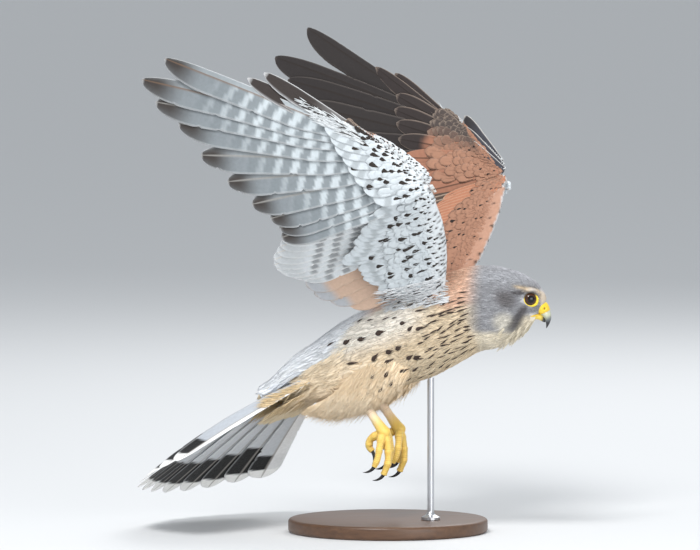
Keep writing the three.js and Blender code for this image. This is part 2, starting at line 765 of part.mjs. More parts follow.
// The feathered thigh, swept back into loose trousers.
function thigh(side, grow) {
  const steps = [
    { at: [-48, 13, -30], high: 19, wide: 9 },
    { at: [-72, 15.5, -42], high: 18, wide: 11 },
    { at: [-95, 16.5, -52], high: 13.5, wide: 9.5 },
    { at: [-115, 16.5, -56.5], high: 10, wide: 7.5 },
    { at: [-131, 15, -55], high: 6, wide: 5 },
    { at: [-144, 14, -51.5], high: 1, wide: 2 },
  ];
  const ahead = alongTrunk([-0.92, 0, -0.39], side);
  const up = alongTrunk([-0.39, 0, 0.92], side);
  const across = ahead.clone().cross(up);
  return loft(steps.map(({ at, high, wide }) => oval({
    centre: inTrunk(at, side),
    across,
    up,
    wide: wide + grow,
    high: high + grow,
    around: 16,
  })));
}

const TARSUS = [[-99, LEG_SIDE, -50], [-95.5, LEG_SIDE, -63], [-92, LEG_SIDE, -75], [-88, LEG_SIDE, -87.5]];

function tarsus(side, grow) {
  return limb(TARSUS.map((p) => inTrunk(p, side)), [4.6, 3.6, TARSUS_RADIUS, 4.9], 10, grow);
}

// Toes hang from the end of the tarsus: the middle one, the hind one, the inner one and the outer
// one. Each has its joints as steps forward, outward and up from there.
const TOES = [
  { name: "3", joints: [[0, 0, -3.5], [-1.4, 0.5, -13.5], [-4.8, 1, -22.4], [-10.8, 1, -29.3]], radius: 2.7 },
  { name: "1", joints: [[-5, -0.5, 0], [-12.8, -1, -1.6], [-15.6, -1.5, -6.4], [-14.4, -1.5, -10.2]], radius: 2.7 },
  { name: "2", joints: [[0.2, -3.5, -2.5], [-1.5, -7, -10.5], [-5, -8.5, -17.5], [-10, -8.5, -22.2]], radius: 2.5 },
  { name: "4", joints: [[-1.5, 3.5, -2], [-5, 6.5, -10], [-8.5, 8, -17], [-13, 8.5, -22]], radius: 2.5 },
];
const CLAW_LENGTH = 11;

function toePoints(toe, side) {
  const base = TARSUS[3];
  return toe.joints.map((step) => inTrunk(base.map((value, i) => value + step[i]), side));
}

function toeSolid(toe, side, grow) {
  const r = toe.radius;
  return limb(toePoints(toe, side), [r * 1.2, r, r * 0.95, r * 0.85], 8, grow);
}

// A hooked claw: it leaves the toe along its last joint and curls on round the same way.
function claw(toe, side) {
  const points = toePoints(toe, side);
  const ahead = points[3].clone().sub(points[2]).normalize();
  const curl = toe.name === "1" ? vec(0.25, 0, -0.97) : vec(-1, 0, 0.1);
  const bend = move(curl, [ahead, -curl.dot(ahead)]).normalize();
  const arc = [0, 0.3, 0.65, 1].map((t) => {
    const turn = 1.35 * t;
    const size = CLAW_LENGTH / 1.35;
    return move(points[3], [ahead, size * Math.sin(turn) - 1], [bend, size * (1 - Math.cos(turn))]);
  });
  return limb(arc, [1.5, 1.25, 0.8, 0.15], 6);
}

// Stand

function standBase() {
  const rounding = 2.4;
  const profile = [new THREE.Vector2(0, 0), new THREE.Vector2(BASE_RADIUS, 0)];
  for (let i = 0; i <= 4; i += 1) {
    const turn = (Math.PI / 2) * (i / 4);
    const out = BASE_RADIUS - rounding * (1 - Math.cos(turn));
    profile.push(new THREE.Vector2(out, BASE_THICK - rounding * (1 - Math.sin(turn))));
  }
  profile.push(new THREE.Vector2(0, BASE_THICK));
  const geometry = new THREE.LatheGeometry(profile, 32);
  geometry.rotateX(Math.PI / 2);
  return solidOf(geometry);
}

function standRod() {
  const top = 150;
  const profile = [
    [0, BASE_THICK + GAP], [7, BASE_THICK + GAP], [7, BASE_THICK + 2.2], [ROD_RADIUS + 1, BASE_THICK + 4],
    [ROD_RADIUS, BASE_THICK + 6], [ROD_RADIUS, top], [0, top],
  ].map(([out, up]) => new THREE.Vector2(out, up));
  const geometry = new THREE.LatheGeometry(profile, 16);
  geometry.rotateX(Math.PI / 2);
  geometry.translate(ROD_AT[0], ROD_AT[1], 0);
  return solidOf(geometry);
}

// The model

const bird = new THREE.Group();

function finish(colour, roughness, metalness = 0) {
  return new THREE.MeshStandardMaterial({ color: colour, roughness, metalness });
}

const finishes = {
  grey: finish(0x9aa0a8, 0.85),
  buff: finish(0xdcc4a0, 0.85),
  pale: finish(0xd8d9d8, 0.8),
  rufous: finish(0xb9794f, 0.8),
  horn: finish(0x2b2c30, 0.35),
  yellow: finish(0xe8b93a, 0.5),
  eye: finish(0x1d120c, 0.1),
  wood: finish(0x4a3524, 0.5),
  steel: finish(0xb8babd, 0.3, 1),
};

function add(name, solid, material) {
  const { vertProperties, triVerts } = largest(solid).getMesh();
  const geometry = new THREE.BufferGeometry();
  geometry.setAttribute("position", new THREE.BufferAttribute(Float32Array.from(vertProperties), 3));
  geometry.setIndex(new THREE.BufferAttribute(Uint32Array.from(triVerts), 1));
  const mesh = new THREE.Mesh(geometry, material);
  mesh.name = name;
  bird.add(mesh);
}

add("head", headSolid(), finishes.grey);
add("cere", without(cereLoft(0), headClear, nostril(1), nostril(-1)), finishes.yellow);
add("bill_upper", without(upperLoft(0), headClear, cereLoft(GAP)), finishes.horn);
add("bill_lower", without(lowerLoft(0), headClear, cereLoft(GAP), upperLoft(GAP)), finishes.horn);
add("neck", bodyBetween(NECK_FROM, NECK_TO, 4, HALF_GAP), finishes.grey);
add("torso", bodyBetween(NECK_TO, TAIL_FROM, 9, HALF_GAP), finishes.buff);
add("tail", tailSolid(), finishes.pale);

for (const [side, name] of [[1, "left"], [-1, "right"]]) {
  add(`eye_${name}`, ball(eyeCentre(side), EYE_RADIUS, 14, 8), finishes.eye);
  const body = [torsoClear, neckClear, tailRootClear];
  add(`wing_${name}_arm`, without(wingArm(side, 0), ...body), finishes.rufous);
  add(`wing_${name}_hand`, without(wingHand(side), wingArm(side, GAP)), finishes.pale);
  add(`thigh_${name}`, without(thigh(side, 0), torsoClear, tailRootClear), finishes.buff);
  add(`tarsus_${name}`, without(tarsus(side, 0), thigh(side, GAP), torsoClear), finishes.yellow);
  for (const [i, toe] of TOES.entries()) {
    const earlier = TOES.slice(0, i).map((other) => toeSolid(other, side, GAP));
    const toeOnly = without(toeSolid(toe, side, 0), tarsus(side, GAP), ...earlier);
    add(`toe_${toe.name}_${name}`, toeOnly, finishes.yellow);
    const toes = TOES.map((other) => toeSolid(other, side, GAP));
    add(`claw_${toe.name}_${name}`, without(claw(toe, side), ...toes), finishes.horn);
  }
}

add("stand_base", standBase(), finishes.wood);
add("stand_rod", without(standRod(), torsoClear), finishes.steel);

export default bird;
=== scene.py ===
# Male common kestrel braking in the air, on a small stand. Sizes in the dictionaries are in millimetres.
import math

import bpy
import numpy as np
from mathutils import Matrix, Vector
from mathutils.bvhtree import BVHTree
from mathutils.kdtree import KDTree


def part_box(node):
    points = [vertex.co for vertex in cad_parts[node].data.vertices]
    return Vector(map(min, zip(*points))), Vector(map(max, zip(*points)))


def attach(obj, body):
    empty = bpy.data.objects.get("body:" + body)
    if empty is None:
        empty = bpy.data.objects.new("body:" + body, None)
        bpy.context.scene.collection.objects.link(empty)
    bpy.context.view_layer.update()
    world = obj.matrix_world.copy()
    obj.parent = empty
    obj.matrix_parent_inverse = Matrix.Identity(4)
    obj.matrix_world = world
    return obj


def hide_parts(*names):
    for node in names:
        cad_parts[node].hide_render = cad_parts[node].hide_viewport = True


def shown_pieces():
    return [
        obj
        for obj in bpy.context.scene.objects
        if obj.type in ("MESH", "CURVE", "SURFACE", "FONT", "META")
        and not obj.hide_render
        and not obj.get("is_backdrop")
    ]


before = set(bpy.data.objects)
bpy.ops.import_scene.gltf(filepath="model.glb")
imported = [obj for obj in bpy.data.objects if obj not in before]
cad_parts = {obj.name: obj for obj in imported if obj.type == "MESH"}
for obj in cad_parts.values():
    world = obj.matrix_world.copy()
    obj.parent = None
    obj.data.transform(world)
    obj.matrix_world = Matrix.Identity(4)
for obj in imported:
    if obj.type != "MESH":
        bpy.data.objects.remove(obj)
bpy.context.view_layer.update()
scene = bpy.context.scene
mm = 0.001
rng = np.random.default_rng(11)
sides = ((1, "left"), (-1, "right"))


def stage(words):
    print("kestrel:", words, flush=True)


# colours are written as 0-255 screen values and kept linear
def tone(red, green, blue):
    c = np.array([red, green, blue], float) / 255
    return np.where(c <= 0.04045, c / 12.92, ((c + 0.055) / 1.055) ** 2.4)


def flood(like, *colour):  # one colour for every place of an array
    return np.broadcast_to(tone(*colour), like.shape + (3,))


def blend(a, b, share):
    share = np.asarray(share, float)[..., None]
    return a * (1 - share) + b * share


def step(low, high, value):
    x = np.clip((np.asarray(value, float) - low) / (high - low), 0, 1)
    return x * x * (3 - 2 * x)


def unit(v):
    v = np.asarray(v, float)
    return v / np.maximum(np.linalg.norm(v, axis=-1, keepdims=True), 1e-9)


def together(*values):  # as arrays of one shape
    return np.broadcast_arrays(*(np.asarray(v, float) for v in values))


def scatter(i, j, seed=0.0):  # the same number from 0 to 1 for the same two whole numbers
    value = np.sin(i * 127.1 + j * 311.7 + seed * 74.7) * 43758.5453
    return value - np.floor(value)


def uneven(amount, i, j):  # some feathers a little darker, some a little lighter
    return (1 + amount * (scatter(i, j) - 0.5))[:, None, None, None]


def runAlong(line):  # the way covered at each point of a line
    return np.concatenate([[0], np.cumsum(np.linalg.norm(np.diff(line, axis=0), axis=1))])


def deselect():
    bpy.ops.object.select_all(action="DESELECT")


def pick(*objects):
    deselect()
    for o in objects:
        o.select_set(True)
    bpy.context.view_layer.objects.active = objects[0]


def finishPiece(piece, name, material, slot, *nodes):
    piece.name = name
    piece.data.name = name
    pick(piece)
    bpy.ops.object.transform_apply(location=True, rotation=True, scale=True)
    piece.data.materials.clear()
    piece.data.materials.append(material)
    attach(piece, "root")
    if nodes:
        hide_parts(*nodes)
    return piece


# camera, light and floor
cameraSet = {"target": (-28.1, 0, 190.6), "distance": 6000, "elevation": 3.7, "sensor": 36, "lens": 417}
lightSet = {
    "key": {"at": (-500, -1500, 1900), "size": 700, "power": 42},
    "front": {"at": (1100, -1700, 200), "size": 1300, "power": 24},
    "back": {"at": (500, 1500, 1500), "size": 1200, "power": 16},
}


def setCamera():
    e = math.radians(cameraSet["elevation"])
    target = Vector(cameraSet["target"]) * mm
    at = target + Vector((0, -math.cos(e), math.sin(e))) * cameraSet["distance"] * mm
    bpy.ops.object.camera_add(location=at)
    camera = bpy.context.object
    camera.rotation_euler = (target - at).to_track_quat("-Z", "Y").to_euler()
    camera.data.sensor_width = cameraSet["sensor"]
    camera.data.lens = cameraSet["lens"]
    camera.data.clip_end = 60
    scene.camera = camera


def setLights():
    for name, lamp in lightSet.items():
        at = Vector(lamp["at"]) * mm
        bpy.ops.object.light_add(type="AREA", location=at)
        light = bpy.context.object
        light.name = "lamp_" + name
        light.rotation_euler = (Vector((-0.03, 0, 0.17)) - at).to_track_quat("-Z", "Y").to_euler()
        light.data.size = lamp["size"] * mm
        light.data.energy = lamp["power"]
    world = bpy.data.worlds.new("paleRoom")
    scene.world = world
    world.use_nodes = True
    world.node_tree.nodes["Background"].inputs["Color"].default_value = (0.86, 0.9, 0.94, 1)
    world.node_tree.nodes["Background"].inputs["Strength"].default_value = 0.62
    scene.view_settings.view_transform = "Standard"


def setFloor():
    bpy.ops.mesh.primitive_plane_add(size=30, location=(0, 8, 0))
    floor = bpy.context.object
    floor.name = "floor"
    material = bpy.data.materials.new("paleFloor")
    material.use_nodes = True
    shader = material.node_tree.nodes["Principled BSDF"]
    shader.inputs["Base Color"].default_value = (0.72, 0.73, 0.74, 1)
    shader.inputs["Roughness"].default_value = 0.9
    floor.data.materials.append(material)
    floor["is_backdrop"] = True


deselect()
setCamera()
setLights()
setFloor()
stage("camera, light and floor")


# the bird's own axes
pose = {
    "yaw": 22, "pitch": 20, "shoulders": (51.8, -22, 187.5), "shoulderOut": 22,
    "elbow": (-12.8, 53.5, 36.7), "wrist": (32, 76.5, 63.5), "handAxis": (-20.5, 13, 40.5),
    "backward": (-0.972, 0.15, 0.18), "armNormal": (0, -0.759, 0.651),
    "handNormal": (-0.098, -0.9575, 0.2715),
}
# centre, half height, half width, lean, yaw and roll of each section, from forehead to tail root
sections = [
    ((114.6, -34.2, 170.4), 6.4, 4.5, 24, 0, 0), ((111.0, -34.2, 169.6), 12.8, 8.6, 20, 0, 0),
    ((105.2, -34.0, 169.4), 19.0, 13.0, 13, 0, 0), ((95.5, -33.0, 169.4), 25.4, 16.6, 6.5, 0, 0),
    ((81.8, -31.0, 168.9), 30.2, 19.0, 2, 4, 0), ((66.2, -27.0, 167.4), 33.2, 22.0, -0.6, 12, 0),
    ((52.2, -22.0, 161.2), 36.9, 27.0, 4, 20, 0), ((30.3, -13.3, 151.8), 38.1, 30.0, 1, 22, 0),
    ((8.1, -4.3, 142.7), 35.5, 28.0, 1, 22, 0), ((-13.2, 4.0, 134.8), 33.0, 23.0, -1, 22, 0),
    ((-34.6, 12.8, 125.0), 29.6, 18.5, -4, 20, 0), ((-51.2, 18.6, 117.4), 24.4, 15.5, -7, 14, 5),
    ((-67.0, 22.4, 111.6), 18.4, 13.5, -14, 11, 10), ((-92.0, 27.4, 98.6), 4.5, 13.0, -24, 11, 10),
]


def attitude(yaw, pitch, roll):
    yaw, pitch, roll = (np.radians(np.asarray(a, float)) for a in (yaw, pitch, roll))
    forward = np.stack([np.cos(pitch) * np.cos(yaw), -np.cos(pitch) * np.sin(yaw), np.sin(pitch)], -1)
    level = np.stack([np.sin(yaw), np.cos(yaw), np.zeros_like(yaw)], -1)
    lift = np.cross(forward, level)
    c, s = np.cos(roll)[..., None], np.sin(roll)[..., None]
    return forward, level * c - lift * s, lift * c + level * s


def throughPoints(points, t):  # smooth curve through points; t counts them
    p = np.asarray(points, float)
    n = len(p)
    i = np.clip(np.floor(t).astype(int), 0, n - 2)
    w = np.clip(t - i, 0, 1)[:, None]
    p = np.vstack([2 * p[0] - p[1], p, 2 * p[-1] - p[-2]])
    a, b, c, d = (p[i + k] for k in range(4))
    gaps = (np.sum((q - r) ** 2, 1, keepdims=True) ** 0.25 for q, r in ((a, b), (b, c), (c, d)))
    ab, bc, cd = (np.maximum(gap, 1e-4) for gap in gaps)
    out = ((b - a) / ab - (c - a) / (ab + bc) + (c - b) / bc) * bc
    into = ((c - b) / bc - (d - b) / (bc + cd) + (d - c) / cd) * bc
    return b + out * w + (3 * (c - b) - 2 * out - into) * w ** 2 + (2 * (b - c) + out + into) * w ** 3


trunkAhead, trunkLeft, trunkUp = attitude(pose["yaw"], pose["pitch"], 0)
shoulders = np.array(pose["shoulders"], float)


def inTrunk(p, side):
    p = np.asarray(p, float)
    return shoulders + p[..., :1] * trunkAhead + side * p[..., 1:2] * trunkLeft + p[..., 2:3] * trunkUp


def alongTrunk(p, side):
    p = np.asarray(p, float)
    return unit(p[..., :1] * trunkAhead + side * p[..., 1:2] * trunkLeft + p[..., 2:3] * trunkUp)


def bodyAt(t, theta, grow=0.0):  # theta is in degrees from the top, towards the left
    t, theta, grow = together(t, theta, grow)
    flat, grow = t.ravel(), grow.ravel()
    centre = throughPoints([s[0] for s in sections], flat)
    high, wide, lean = throughPoints([s[1:4] for s in sections], flat).T
    yaw, roll, _ = throughPoints([(s[4], s[5], 0) for s in sections], flat).T
    _, left, up = attitude(yaw, -lean, roll)
    x, z = np.sin(np.radians(theta.ravel())), np.cos(np.radians(theta.ravel()))
    across = ((wide + grow) * x * (1 + 0.06 * z))[:, None] * left
    return (centre + across + ((high + grow) * z)[:, None] * up).reshape(*t.shape, 3)


bodySteps = np.linspace(0, 13, 400)
bodyLine = throughPoints([s[0] for s in sections], bodySteps)
bodyRun = runAlong(bodyLine)

armAhead = np.array([1.0, 0, 0])
armSpan = np.array([0, 0.651, 0.759])
armNormal = np.array(pose["armNormal"], float)
handNormal = unit(pose["handNormal"])
backward = unit(pose["backward"])
handOpening = np.cross(backward, handNormal)
handOpening = unit(handOpening * np.sign(handOpening[2]))
handAxis = unit(pose["handAxis"])
wrist, elbow = np.array(pose["wrist"], float), np.array(pose["elbow"], float)


def inHand(degrees):
    a = np.radians(degrees)
    return backward * np.cos(a) + handOpening * np.sin(a)


def inArm(degrees):
    a = np.radians(degrees)
    return -armAhead * np.cos(a) + armSpan * np.sin(a)


def onHand(along, ahead=0.0, up=0.0):
    return wrist + along * handAxis + ahead * inHand(142) + up * handNormal


def onForearm(fromWrist, ahead=0.0, up=0.0):
    return wrist + (elbow - wrist) * fromWrist / 57 + ahead * armAhead + up * armNormal


def onUpperArm(fromElbow, ahead=0.0, up=0.0):
    shoulder = np.array([0, pose["shoulderOut"], 0])
    return elbow + (shoulder - elbow) * fromElbow / 50 + ahead * armAhead + up * armNormal


# meshes from arrays
def paintPoints(mesh, colours):
    layer = mesh.color_attributes.new("plumage", "FLOAT_COLOR", "POINT")
    opaque = np.ones((len(mesh.vertices), 1))
    layer.data.foreach_set("color", np.hstack([np.clip(colours, 0, 1), opaque]).ravel())


def pointsOf(piece):
    co = np.empty(len(piece.data.vertices) * 3)
    piece.data.vertices.foreach_get("co", co)
    return co.reshape(-1, 3)


def makeMesh(name, points, quads=None, tris=None, colours=None, chart=None, vane=None):
    parts = [np.asarray(f, int) for f in (quads, tris) if f is not None and len(f)]
    loops = np.concatenate([f.ravel() for f in parts])
    totals = np.concatenate([np.full(len(f), f.shape[1]) for f in parts])
    mesh = bpy.data.meshes.new(name)
    mesh.vertices.add(len(points))
    mesh.vertices.foreach_set("co", (np.asarray(points, float) * mm).ravel())
    mesh.loops.add(len(loops))
    mesh.loops.foreach_set("vertex_index", loops)
    mesh.polygons.add(len(totals))
    mesh.polygons.foreach_set("loop_start", np.concatenate([[0], np.cumsum(totals)[:-1]]))
    mesh.polygons.foreach_set("use_smooth", np.ones(len(totals), bool))
    mesh.update(calc_edges=True)
    if colours is not None:
        paintPoints(mesh, colours)
    if chart is not None:
        mesh.uv_layers.new(name="OFBake").data.foreach_set("uv", np.asarray(chart, float)[loops].ravel())
    if vane is not None:
        layer = mesh.attributes.new("vane", "FLOAT_VECTOR", "POINT")
        layer.data.foreach_set("vector", np.asarray(vane, float).ravel())
    piece = bpy.data.objects.new(name, mesh)
    scene.collection.objects.link(piece)
    return piece


def ringFaces(rings, around, first=0):  # quads of a tube whose rings follow each other
    k, i = np.meshgrid(np.arange(rings - 1), np.arange(around), indexing="ij")
    a, b = first + k * around + i, first + k * around + (i + 1) % around
    return np.stack([a, b, b + around, a + around], -1).reshape(-1, 4)


def turnOutwards(piece):
    pick(piece)
    bpy.ops.object.mode_set(mode="EDIT")
    bpy.ops.mesh.select_all(action="SELECT")
    bpy.ops.mesh.normals_make_consistent(inside=False)
    bpy.ops.object.mode_set(mode="OBJECT")
    return piece


def tube(name, rings, colours=None):  # rings is an array of rings of points, closed by a fan at each end
    rings = np.asarray(rings, float)
    count, around = rings.shape[:2]
    points = np.vstack([rings.reshape(-1, 3), rings[0].mean(0), rings[-1].mean(0)])
    i = np.arange(around)
    j = (i + 1) % around
    last = (count - 1) * around
    caps = np.vstack([
        np.stack([j, i, np.full(around, count * around)], -1),
        np.stack([last + i, last + j, np.full(around, count * around + 1)], -1),
    ])
    if colours is not None:
        colours = np.vstack([colours.reshape(-1, 3), colours[0].mean(0), colours[-1].mean(0)])
    return turnOutwards(makeMesh(name, points, ringFaces(count, around), caps, colours))


def oval(centre, across, up, wide, high, around, front=0.0, keel=0.0):
    a = 2 * np.pi * np.arange(around) / around
    x, z = np.cos(a)[:, None], np.sin(a)[:, None]
    return centre + across * wide * x * (1 + keel * z) + up * high * z * (1 + front * x)


def limbRings(points, radii, around, side=(0, 1, 0), flat=1.0):
    points = np.asarray(points, float)
    rings = []
    for k, point in enumerate(points):
        ahead = unit(points[min(k + 1, len(points) - 1)] - points[max(k - 1, 0)])
        up = unit(np.cross(side, ahead))
        rings.append(oval(point, np.cross(ahead, up), up, radii[k], radii[k] * flat, around))
    return np.array(rings)


def smoothLine(points, count):
    t = np.linspace(0, len(points) - 1, count)
    return throughPoints(points, t)


# materials
def newMaterial(name, roughness, **sockets):
    material = bpy.data.materials.new(name)
    material.use_nodes = True
    shader = material.node_tree.nodes["Principled BSDF"]
    shader.inputs["Roughness"].default_value = roughness
    for socket, value in sockets.items():
        shader.inputs[socket.replace("_", " ")].default_value = value
    return material, material.node_tree, shader


def node(tree, kind, **values):
    made = tree.nodes.new("ShaderNode" + kind)
    for key, value in values.items():
        if key in made.inputs:
            made.inputs[key].default_value = value
        else:
            setattr(made, key, value)
    return made


def wire(tree, *links):  # each link: a node and its output, then a node and its input
    for source, out, target, into in links:
        tree.links.new(source.outputs[out], target.inputs[into])


def ranged(tree, pattern, low, high, target, into):  # a pattern drives an input between low and high
    span = node(tree, "MapRange")
    span.inputs["To Min"].default_value = low
    span.inputs["To Max"].default_value = high
    wire(tree, (pattern, "Fac", span, "Value"), (span, "Result", target, into))


def bumped(tree, shader, relief, depth, strength):
    bump = node(tree, "Bump", Distance=depth, Strength=strength)
    wire(tree, (relief, "Fac", bump, "Height"), (bump, "Normal", shader, "Normal"))


# colour from the mesh, made a little darker and lighter, smoother and rougher by a fine pattern
def colouredMaterial(name, roughness, scale, detail, dark, light, **sockets):
    material, tree, shader = newMaterial(name, roughness, **sockets)
    colour = node(tree, "Attribute", attribute_name="plumage")
    place = node(tree, "TexCoord")
    pattern = node(tree, "TexNoise", Scale=scale, Detail=detail)
    mix = node(tree, "VectorMath", operation="SCALE")
    wire(
        tree, (place, "Object", pattern, "Vector"), (colour, "Color", mix, 0),
        (mix, "Vector", shader, "Base Color"),
    )
    ranged(tree, pattern, dark, light, mix, "Scale")
    ranged(tree, pattern, roughness * 0.85, min(1.0, roughness * 1.15), shader, "Roughness")
    return material, tree, shader, place, pattern


def plumageMaterial(name, roughness, bumpScale, bumpDepth, barbs=False):
    material, tree, shader, place, _ = colouredMaterial(
        name, roughness, 420.0, 3.0, 0.86, 1.12,
        Specular_IOR_Level=0.14, Sheen_Weight=0.05, Sheen_Roughness=0.5,
    )
    if barbs:  # fine slanting barbs each side of the shaft
        vane = node(tree, "Attribute", attribute_name="vane")
        relief = node(tree, "TexWave", Scale=bumpScale, Distortion=0.6, Detail=1.0)
        wire(tree, (vane, "Vector", relief, "Vector"))
    else:
        relief = node(tree, "TexNoise", Scale=bumpScale, Detail=4.0)
        wire(tree, (place, "Object", relief, "Vector"))
    bumped(tree, shader, relief, bumpDepth, 0.6)
    return material


def paintedMaterial(name, roughness, bumpScale, bumpDepth, spread, **sockets):
    material, tree, shader, _, grain = colouredMaterial(
        name, roughness, bumpScale, 5.0, 1 - spread, 1 + spread, **sockets,
    )
    bumped(tree, shader, grain, bumpDepth, 0.5)
    return material


coatMaterial = plumageMaterial("softPlumage", 0.85, 900.0, 0.0002)
vaneMaterial = plumageMaterial("flightVanes", 0.62, 1.0, 0.00006, barbs=True)
skinMaterial = plumageMaterial("downySkin", 0.95, 700.0, 0.0004)
yellowMaterial = paintedMaterial(
    "yellowSkin", 0.48, 1600.0, 0.00012, 0.14, Subsurface_Weight=0.08, Subsurface_Scale=0.002,
)
hornMaterial = paintedMaterial("horn", 0.26, 500.0, 0.00003, 0.1, Coat_Weight=0.25, Coat_Roughness=0.2)
eyeMaterial = paintedMaterial("eyeball", 0.05, 300.0, 0.0, 0.06, Specular_IOR_Level=0.4)
stage("materials")


# feather builder
def bladeFaces(stations, ring):
    fan = np.arange(1, ring - 1)
    root = np.stack([fan * 0, fan + 1, fan], -1)
    tip = np.stack([fan * 0, fan, fan + 1], -1) + (stations - 1) * ring
    return ringFaces(stations, ring), np.vstack([root, tip])


def facedOut(points, quads, tris):  # the same faces, wound so that they look away from the middle
    a, b, c = (points[quads[:, n]] for n in (0, 1, 2))
    if np.sum(np.einsum("ij,ij->i", np.cross(b - a, c - a), a - points.mean(0))) < 0:
        return quads[:, ::-1], tris[:, ::-1]
    return quads, tris


# each feather is a thin closed blade over a path of points, wide in the middle and round at its tip
def layFeathers(name, slotName, path, normal, width, height, thick, columns, profile, paint, chart, camber):
    patch = 0.003  # size of one feather on the chart
    normal = normal if normal.ndim == 3 else normal[:, None]
    count, stations = path.shape[:2]
    tangent = unit(np.gradient(path, axis=1))
    side = unit(np.cross(tangent, normal))
    up = unit(np.cross(side, tangent))
    u = np.linspace(0, 1, stations)
    across = np.linspace(-1, 1, columns)
    below = across[1:-1][::-1] if columns > 3 else across[:0]
    x = np.concatenate([across, below])
    under = np.concatenate([np.zeros(columns), np.ones(len(below))])
    half = np.asarray(width)[:, None] / 2 * np.asarray(profile)[None, :]
    body = thick * (1 - 0.6 * u)[None, :]
    rise = (1 - x ** 2)[None, None, :] * body[..., None] * np.where(under, -1, 1)[None, None, :]
    drop = camber * (x ** 2)[None, None, :] * half[..., None]
    points = path[:, :, None] + side[:, :, None] * (half[..., None] * x)[..., None]
    points = points + up[:, :, None] * (height[..., None] + rise - drop)[..., None]
    ring = len(x)
    flat = points.reshape(-1, 3)
    quads, tris = facedOut(flat[: stations * ring], *bladeFaces(stations, ring))
    starts = (np.arange(count) * stations * ring)[:, None, None]
    quads = (starts + quads[None]).reshape(-1, 4)
    tris = (starts + tris[None]).reshape(-1, 3)
    shape = (count, stations, ring)
    us = np.broadcast_to(u[None, :, None], shape)
    xs = np.broadcast_to(x[None, None, :], shape)
    colours = paint(us, xs)
    spot = chart[:, None, None, :] + np.stack([xs * 0.5, us], -1) * patch
    piece = makeMesh(name, flat, quads, tris, colours.reshape(-1, 3), spot.reshape(-1, 2))
    return finishPiece(piece, name, coatMaterial, slotName)


def bladeProfile(stations, foot=0.3, widest=0.55, tip=0.12):  # share of the width along a feather
    u = np.linspace(0, 1, stations)
    rise = foot + (1 - foot) * np.sin(np.clip(u / widest, 0, 1) * np.pi / 2)
    fall = np.sqrt(np.clip(1 - np.clip((u - widest) / (1 - widest), 0, 1) ** 2.2, 0, 1))
    return np.maximum(rise * fall, tip)


# flight feathers, greater coverts and tail
vaneSet = {
    "stations": 60, "columns": (-1, -0.86, -0.7, -0.5, -0.3, -0.12, 0, 0.12, 0.35, 0.6, 0.82, 1),
    "thick": 0.3, "shaft": 0.24, "camber": 0.4, "splits": 3,
    "flight": ((0, 0.34, 0.8), (0.28, 0.94, 1), 0.78), "tail": ((0, 0.5, 0.86), (0.16, 0.74, 1), 0.88),
    "covert": ((0, 0.3, 0.7), (0.5, 0.86, 1), 0.66),
}


